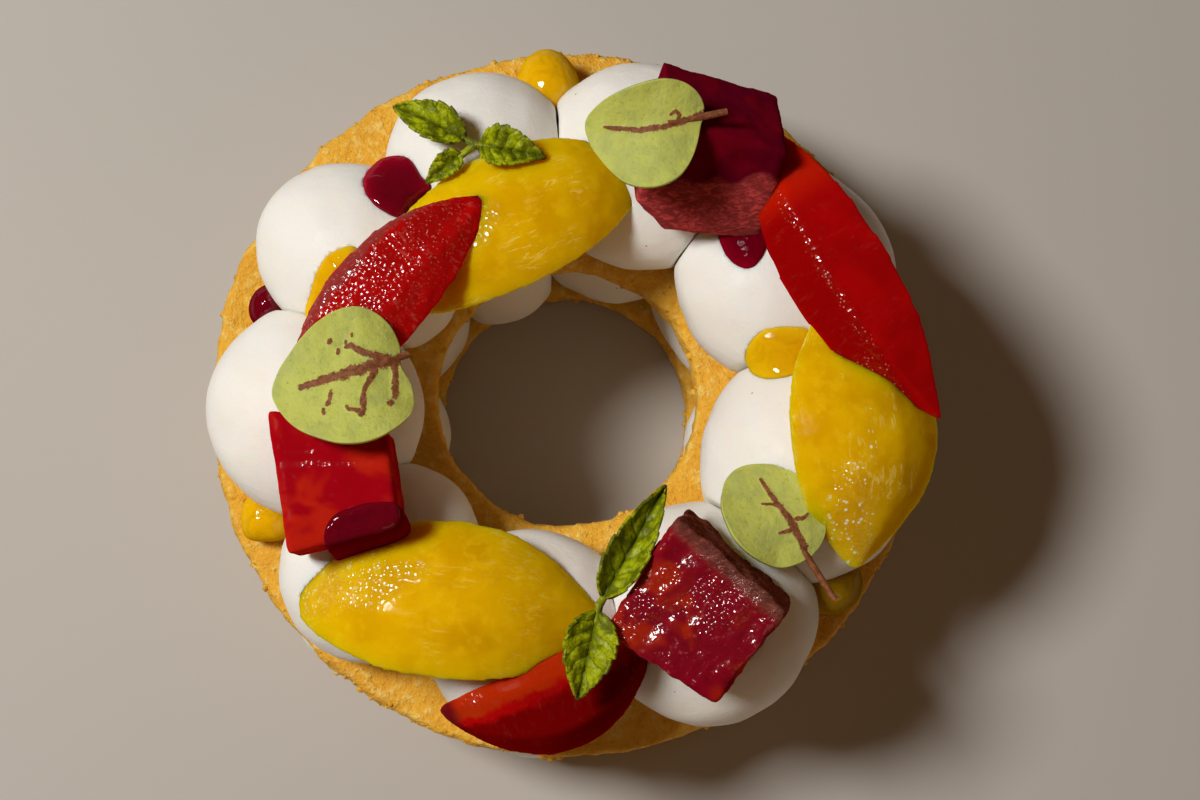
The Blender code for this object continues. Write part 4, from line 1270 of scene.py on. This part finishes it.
def mint_blade(name, leaf, seed, sizes):
    """A toothed mint blade, quilted between its veins."""
    heading, rise, stalk, length, width, curl = leaf
    bpy.ops.mesh.primitive_grid_add(x_subdivisions=MINT_CUTS[0], y_subdivisions=MINT_CUTS[1], size=2)
    blade = bpy.context.active_object
    blade.name = name
    corners = corners_of(blade)
    along, across = (corners[:, 0] + 1) / 2, corners[:, 1]
    outline = np.sin(math.pi * np.clip(along, 0, 1) ** 0.75) ** 0.8
    tooth = 1 - 0.15 * across ** 2 * (1 - np.sqrt(MINT_TEETH * along % 1.0))
    half_width = width / 2 * outline * tooth
    wander = np.array([noise.noise(Vector((a * 3, b * 2, seed + 4))) for a, b in zip(along, across)])
    side = MINT_TEETH * (along - 0.24 * np.abs(across)) + 0.5 * wander
    crease = np.abs(((side + 0.5) % 1.0) - 0.5) * 2
    rib = np.exp(-((across * half_width / 0.45) ** 2))
    vein = np.maximum(rib, np.clip(1 - crease / 0.22, 0, 1) * np.clip(outline * 1.4, 0, 1))
    quilt = 0.60 * np.sqrt(np.clip(crease, 0, 1)) * (1 - np.abs(across) ** 3) * np.clip(outline, 0, 1)
    bent = curl * np.abs(across)
    fold = MINT_FOLD * half_width * np.abs(across) + half_width * (1 - np.cos(bent)) / curl
    wave = np.array([noise.noise(Vector((a * 5, b * 2, seed))) for a, b in zip(along, across)])
    fine = np.array([noise.noise(Vector((a * 40, b * 16, seed))) for a, b in zip(along, across)])
    height = fold + quilt - 0.35 * rib - MINT_DROOP * length * along ** 2 + 0.5 * wave + 0.12 * fine
    x = stalk + length * along - 0.5 * np.abs(across) * outline
    set_corners(blade, np.column_stack([x, half_width * np.sign(across) * np.sin(bent) / curl, height]) * MM)
    mark(blade, "vein", vein)
    choose(blade)
    bpy.ops.object.mode_set(mode="EDIT")
    bpy.ops.mesh.select_all(action="SELECT")
    bpy.ops.mesh.remove_doubles(threshold=0.01 * MM)
    bpy.ops.object.mode_set(mode="OBJECT")
    thick = blade.modifiers.new("Thickness", "SOLIDIFY")
    thick.thickness = sizes.leaf_thickness * 0.75
    thick.offset = 0.0
    apply_modifiers(blade)
    stem = rod(f"{name}_stalk", [
        Vector((-0.4, 0, 0)) * MM, Vector((stalk * 0.6, 0, -0.1)) * MM,
        Vector((stalk + length * 0.12, 0, -0.35)) * MM, Vector((stalk + length * 0.3, 0, -0.5)) * MM,
    ], sizes.stem_radius)
    mark(stem, "vein", np.full(len(stem.data.vertices), 0.3))
    choose(stem, blade)
    bpy.ops.object.join()
    blade.rotation_euler = (0, -math.radians(rise), math.radians(heading))
    return freeze(blade)


# ---------------------------------------------------------------- operators
class TartOperator:
    bl_options = {"REGISTER", "UNDO"}


class TART_OT_cubes(TartOperator, bpy.types.Operator):
    """Cut the dark red fruit cubes"""

    bl_idname = "tart.cubes"
    bl_label = "Red Cubes"

    def execute(self, context):
        sizes, colours = context.scene.tart_sizes, context.scene.tart_colours
        looks = [
            cube_material(
                "bright_cube", (0.36, 0.0018, 0.0070), (0.52, 0.018, 0.005), (0.34, 0.05, 0.04),
                share=0.8, specked_and_sheen=0.15, grain=0.16, relief=0.06, coat=0.5,
            ),
            cube_material(
                "rough_cube", (0.22, 0.0025, 0.0120), (0.38, 0.018, 0.004), (0.32, 0.085, 0.06),
                share=0.9, specked_and_sheen=0.75, grain=0.22, relief=0.35, coat=1.0,
            ),
            cube_material(
                "dark_cube", colours.wine_fruit, (0.17, 0.0012, 0.0080), (0.60, 0.075, 0.075),
                share=0.7, specked_and_sheen=0.0, grain=0.10, relief=0.12, coat=0.5,
            ),
        ]
        north_east = (math.cos(math.radians(48)), math.sin(math.radians(48)), 0)
        shapes = [
            (
                16, [(6.0, 0.5), (1.8, 0.05)], ((0, 0, 1), 99, 99),
                [(-7.5, 5.0, 2.9, 0.35), (-7.0, -3.0, 4.6, 0.2)],
            ),
            (14, [(5.0, 1.5), (1.8, 0.60)], (north_east, 9.0, 99), [(-6.0, 6.0, 0.0, 7.0)]),
            (20, [(5.0, 0.8), (1.8, 0.10)], ((0, 0, 1), 7.5, 2.0), [(5.0, 8.0, -6.5, 0.8)]),
        ]
        for i, place in enumerate(RED_CUBES):
            node = f"red_cube_{i + 1}"
            cube = fruit_cube(f"fine_{node}", place, sizes.fruit_grain, *shapes[i])
            finish_piece(cube, looks[i], "wine_fruit", node)
        return {"FINISHED"}


class TART_OT_red_wedges(TartOperator, bpy.types.Operator):
    """Cut the red fruit wedges and rest them on the cubes"""

    bl_idname = "tart.red_wedges"
    bl_label = "Red Wedges"

    def execute(self, context):
        sizes, colours = context.scene.tart_sizes, context.scene.tart_colours
        looks = [
            # Its right flank's bright red is partly its own red, partly painted light: the glow of light
            # passing through it.
            red_fruit_material(
                colours, "grained_red_fruit", (0.28, 0.030, 0.026), (0.56, 0.0040, 0.0040), (0.62, -0.30),
                end=(0.13, 0.001, 0.006), painted_glint_dots=0.45, streaks=0.20, relief=0.16, coat=1.0,
            ),
            red_fruit_material(
                colours, "two_toned_red_fruit", (0.44, 0.024, 0.002), (0.19, 0.0008, 0.0008), (0.52, 0.36),
                end=(0.09, 0.001, 0.008), painted_glint_dots=0.4, streaks=0.03, relief=0.04, coat=0.6,
            ),
            red_fruit_material(
                colours, "smooth_red_fruit", colours.red_orange, (0.30, 0.0012, 0.0012), (1.05, -0.05),
                end=(0.54, 0.012, 0.001), painted_glint_dots=0.8, streaks=0.03, relief=0.04, coat=1.0,
            ),
        ]
        reliefs = [[(5.0, 0.6), (1.6, 0.24)], [(6.0, 0.4), (2.5, 0.05)], [(6.0, 0.4), (2.5, 0.05)]]
        for i, place in enumerate(RED_WEDGES):
            node = f"red_wedge_{i + 1}"
            wedge = fruit_wedge(
                f"fine_{node}", place, sizes.fruit_grain, reliefs[i], RED_RIDGES[i], RED_FLATNESS
            )
            wedge = make_room(wedge, named("red_cube"), LEANING)
            along = mark_flesh(wedge, place, 100 * i, RED_GLINTS[i])
            for name, (first, last) in (("tip", RED_TIPS[i]), ("frayed", RED_FRAYED[i])):
                mark(wedge, name, np.clip((along - first) / (last - first), 0, 1))
            finish_piece(wedge, looks[i], "red_fruit", node)
        return {"FINISHED"}


class TART_OT_tucked_leaf(TartOperator, bpy.types.Operator):
    """Grow the round leaf that is tucked under a yellow wedge"""

    bl_idname = "tart.tucked_leaf"
    bl_label = "Tucked Leaf"

    def execute(self, context):
        sizes = context.scene.tart_sizes
        leaf = round_leaf("fine_round_leaf_3", TUCKED_LEAF, sizes)
        finish_piece(leaf, leaf_material(context.scene.tart_colours), "round_leaf", "round_leaf_3")
        return {"FINISHED"}


class TART_OT_yellow_wedges(TartOperator, bpy.types.Operator):
    """Cut the golden fruit wedges and tuck them in"""

    bl_idname = "tart.yellow_wedges"
    bl_label = "Yellow Wedges"

    def execute(self, context):
        sizes, colours = context.scene.tart_sizes, context.scene.tart_colours
        for i, place in enumerate(YELLOW_WEDGES):
            node = f"yellow_wedge_{i + 1}"
            relief = [(6.0, 0.5), (2.5, 0.06)]
            wedge = fruit_wedge(
                f"fine_{node}", place, sizes.fruit_grain, relief, YELLOW_RIDGES[i], YELLOW_FLATNESS
            )
            wedge = make_room(wedge, named("red_cube", "red_wedge"), LEANING)
            wedge = make_room(wedge, named("round_leaf"))
            mark_flesh(wedge, place, 100 * i, YELLOW_GLINTS[i])
            look = yellow_fruit_material(colours, f"golden_fruit_{i + 1}", *YELLOW_LOOKS[i])
            finish_piece(wedge, look, "yellow_fruit", node)
        return {"FINISHED"}


class TART_OT_gel(TartOperator, bpy.types.Operator):
    """Place the drops of yellow and red gel and press them into the cream"""

    bl_idname = "tart.gel"
    bl_label = "Gel Drops"

    def execute(self, context):
        sizes, colours = context.scene.tart_sizes, context.scene.tart_colours
        golden_depth, red_depth = (1.0, 0.6, 0.05), (1.0, 0.05, 0.10)
        yellow = gel_material("golden_gel", colours.yellow_gel, (0.88, 0.55, 0.006), golden_depth)
        # The darker golden gel is painted shade for the drop that lies in deep shade.
        shaded = gel_material("shaded_golden_gel", (0.34, 0.19, 0.002), (0.42, 0.25, 0.004), golden_depth)
        red = gel_material("dark_red_gel", colours.red_gel, (0.42, 0.001, 0.018), red_depth)
        fruit = named("red_cube", "red_wedge", "yellow_wedge", "round_leaf")
        cubes, cream = named("red_cube"), named("upper_cream")
        kinds = (
            ("yellow_gel", yellow, YELLOW_STANDING, YELLOW_SPREAD),
            ("red_gel", red, RED_STANDING, RED_SPREAD),
        )
        for slot, look, standing, spread in kinds:
            for number, place in standing.items():
                node = f"{slot}_{number}"
                drop = make_room(standing_drop(f"fine_{node}", place, sizes), fruit, PRESSED)
                mark_thin(drop, place[:2], 40.0)
                finish_piece(drop, shaded if node == SHADED_DROP else look, slot, node)
            for number, place in spread.items():
                node = f"{slot}_{number}"
                over_fruit = place[3] > OVER_FRUIT
                drop = spread_drop(f"fine_{node}", place, cream, cubes if over_fruit else fruit, sizes)
                drop = make_room(drop, fruit, PRESSED)
                reach = np.abs(np.array(place[4])).max(0) * (1.6 if over_fruit else 1.0)
                mark_thin(drop, place[:2], reach, 0.1 if node == DULL_DROP else 1.0)
                finish_piece(drop, look, slot, node)
        for dome in cream:
            dome = make_room(dome, named("yellow_gel", "red_gel"), PRESSED)
            finish_piece(dome, bpy.data.materials["piped_cream"], "cream", dome.name.removeprefix("fine_"))
        return {"FINISHED"}


class TART_OT_cream(TartOperator, bpy.types.Operator):
    """Pipe both layers of cream domes and press the fruit into them"""

    bl_idname = "tart.cream"
    bl_label = "Cream Domes"

    def execute(self, context):
        sizes = context.scene.tart_sizes
        look = cream_material(context.scene.tart_colours)
        above = named("red_cube", "red_wedge", "yellow_wedge", "round_leaf")
        for i in range(len(UPPER_DOMES)):
            upper_dome(i, sizes, above)
        for i in range(len(LOWER_DOMES)):
            finish_piece(lower_dome(i, sizes), look, "cream", f"lower_cream_{i + 1}")
        return {"FINISHED"}


class TART_OT_leaves(TartOperator, bpy.types.Operator):
    """Lay the round leaves on the fruit"""

    bl_idname = "tart.leaves"
    bl_label = "Round Leaves"

    def execute(self, context):
        sizes = context.scene.tart_sizes
        look = bpy.data.materials["round_leaf_skin"]
        below = named("red_cube", "red_wedge", "yellow_wedge", "yellow_gel", "red_gel", "upper_cream")
        for i in range(TUCKED_LEAF):
            leaf = round_leaf(f"fine_round_leaf_{i + 1}", i, sizes)
            settle(leaf, below, GAP)
            finish_piece(leaf, look, "round_leaf", f"round_leaf_{i + 1}")
        return {"FINISHED"}


class TART_OT_mint(TartOperator, bpy.types.Operator):
    """Lay the sprigs of mint on the fruit and cream"""

    bl_idname = "tart.mint"
    bl_label = "Mint Sprigs"

    def execute(self, context):
        sizes = context.scene.tart_sizes
        look = mint_material(context.scene.tart_colours)
        fruit = ("red_cube", "red_wedge", "yellow_wedge")
        below = named(*fruit, "round_leaf", "yellow_gel", "red_gel", "upper_cream")
        for i, (joint, blades) in enumerate(MINT_SPRIGS):
            node = f"mint_sprig_{i + 1}"
            parts = [mint_blade(f"{node}_{j}", leaf, 10 * i + j, sizes) for j, leaf in enumerate(blades)]
            choose(*parts)
            bpy.ops.object.join()
            sprig = bpy.context.active_object
            sprig.name = f"fine_{node}"
            put(sprig, *joint, 0.0)
            settle(sprig, below, GAP)
            finish_piece(sprig, look, "mint", node)
        return {"FINISHED"}


class TART_OT_biscuits(TartOperator, bpy.types.Operator):
    """Bake both biscuit rings and their crumbs"""

    bl_idname = "tart.biscuits"
    bl_label = "Biscuit Rings"

    def execute(self, context):
        sizes = context.scene.tart_sizes
        look = biscuit_material(context.scene.tart_colours)
        lower = biscuit_ring("fine_lower_biscuit", 0.0, sizes)
        upper = biscuit_ring("fine_upper_biscuit", sizes.biscuit + sizes.lower_cream, sizes)
        crumbs = scatter_crumbs([lower, upper], sizes)
        finish_piece(lower, look, "biscuit", "lower_biscuit")
        finish_piece(upper, look, "biscuit", "upper_biscuit")
        finish_piece(crumbs, look, "biscuit")
        return {"FINISHED"}


class TART_OT_stage(TartOperator, bpy.types.Operator):
    """Set the floor, the lights and the camera"""

    bl_idname = "tart.stage"
    bl_label = "Stage"

    def execute(self, context):
        scene = context.scene
        bpy.ops.mesh.primitive_plane_add(size=FLOOR_SIZE, location=(0, 0, -0.05 * MM))
        floor = context.active_object
        floor.name = "studio_floor"
        freeze(floor)
        floor.data.materials.append(floor_material(scene.tart_colours))
        for name, light in LIGHTS.items():
            self.add_light(name, *light)
        world = bpy.data.worlds.new("studio")
        world.use_nodes = True
        background = world.node_tree.nodes["Background"]
        background.inputs["Color"].default_value = (*WORLD_COLOUR, 1.0)
        background.inputs["Strength"].default_value = WORLD_STRENGTH
        scene.world = world
        bpy.ops.object.camera_add(
            location=CAMERA_PLACE, rotation=[math.radians(angle) for angle in CAMERA_TURN]
        )
        camera = context.active_object
        camera.data.lens = CAMERA_LENS
        camera.data.sensor_width = 36.0
        camera.data.clip_start = 0.01
        scene.camera = camera
        scene.view_settings.view_transform = "Standard"
        return {"FINISHED"}

    def add_light(self, name, direction, distance, size, power, colour):
        towards = Vector(direction).normalized()
        bpy.ops.object.light_add(type="AREA", location=Vector(LIT_MIDDLE) + towards * distance)
        light = bpy.context.active_object
        light.name = name
        light.rotation_euler = towards.to_track_quat("Z", "Y").to_euler()
        light.data.shape = "DISK"
        light.data.size = size
        light.data.energy = power
        light.data.color = colour


class TART_PT_panel(bpy.types.Panel):
    """The tart's pieces, in the order in which they are made"""

    bl_label = "Fruit Tart"
    bl_idname = "TART_PT_panel"
    bl_space_type = "VIEW_3D"
    bl_region_type = "UI"
    bl_category = "Fruit Tart"

    def draw(self, context):
        layout = self.layout
        for operator in OPERATORS:
            layout.operator(operator.bl_idname)
        for group in (context.scene.tart_sizes, context.scene.tart_colours):
            box = layout.box()
            for name in group.__annotations__:
                box.prop(group, name)


OPERATORS = [
    TART_OT_cubes,
    TART_OT_red_wedges,
    TART_OT_tucked_leaf,
    TART_OT_yellow_wedges,
    TART_OT_cream,
    TART_OT_gel,
    TART_OT_leaves,
    TART_OT_mint,
    TART_OT_biscuits,
    TART_OT_stage,
]
CLASSES = [TartSizes, TartColours, *OPERATORS, TART_PT_panel]


def register():
    for cls in CLASSES:
        bpy.utils.register_class(cls)
    bpy.types.Scene.tart_sizes = PointerProperty(type=TartSizes)
    bpy.types.Scene.tart_colours = PointerProperty(type=TartColours)


def unregister():
    del bpy.types.Scene.tart_colours
    del bpy.types.Scene.tart_sizes
    for cls in reversed(CLASSES):
        bpy.utils.unregister_class(cls)


def main():
    register()
    bpy.ops.tart.cubes()
    bpy.ops.tart.red_wedges()
    bpy.ops.tart.tucked_leaf()
    bpy.ops.tart.yellow_wedges()
    bpy.ops.tart.cream()
    bpy.ops.tart.gel()
    bpy.ops.tart.leaves()
    bpy.ops.tart.mint()
    bpy.ops.tart.biscuits()
    bpy.ops.tart.stage()


if __name__ == "__main__":
    main()
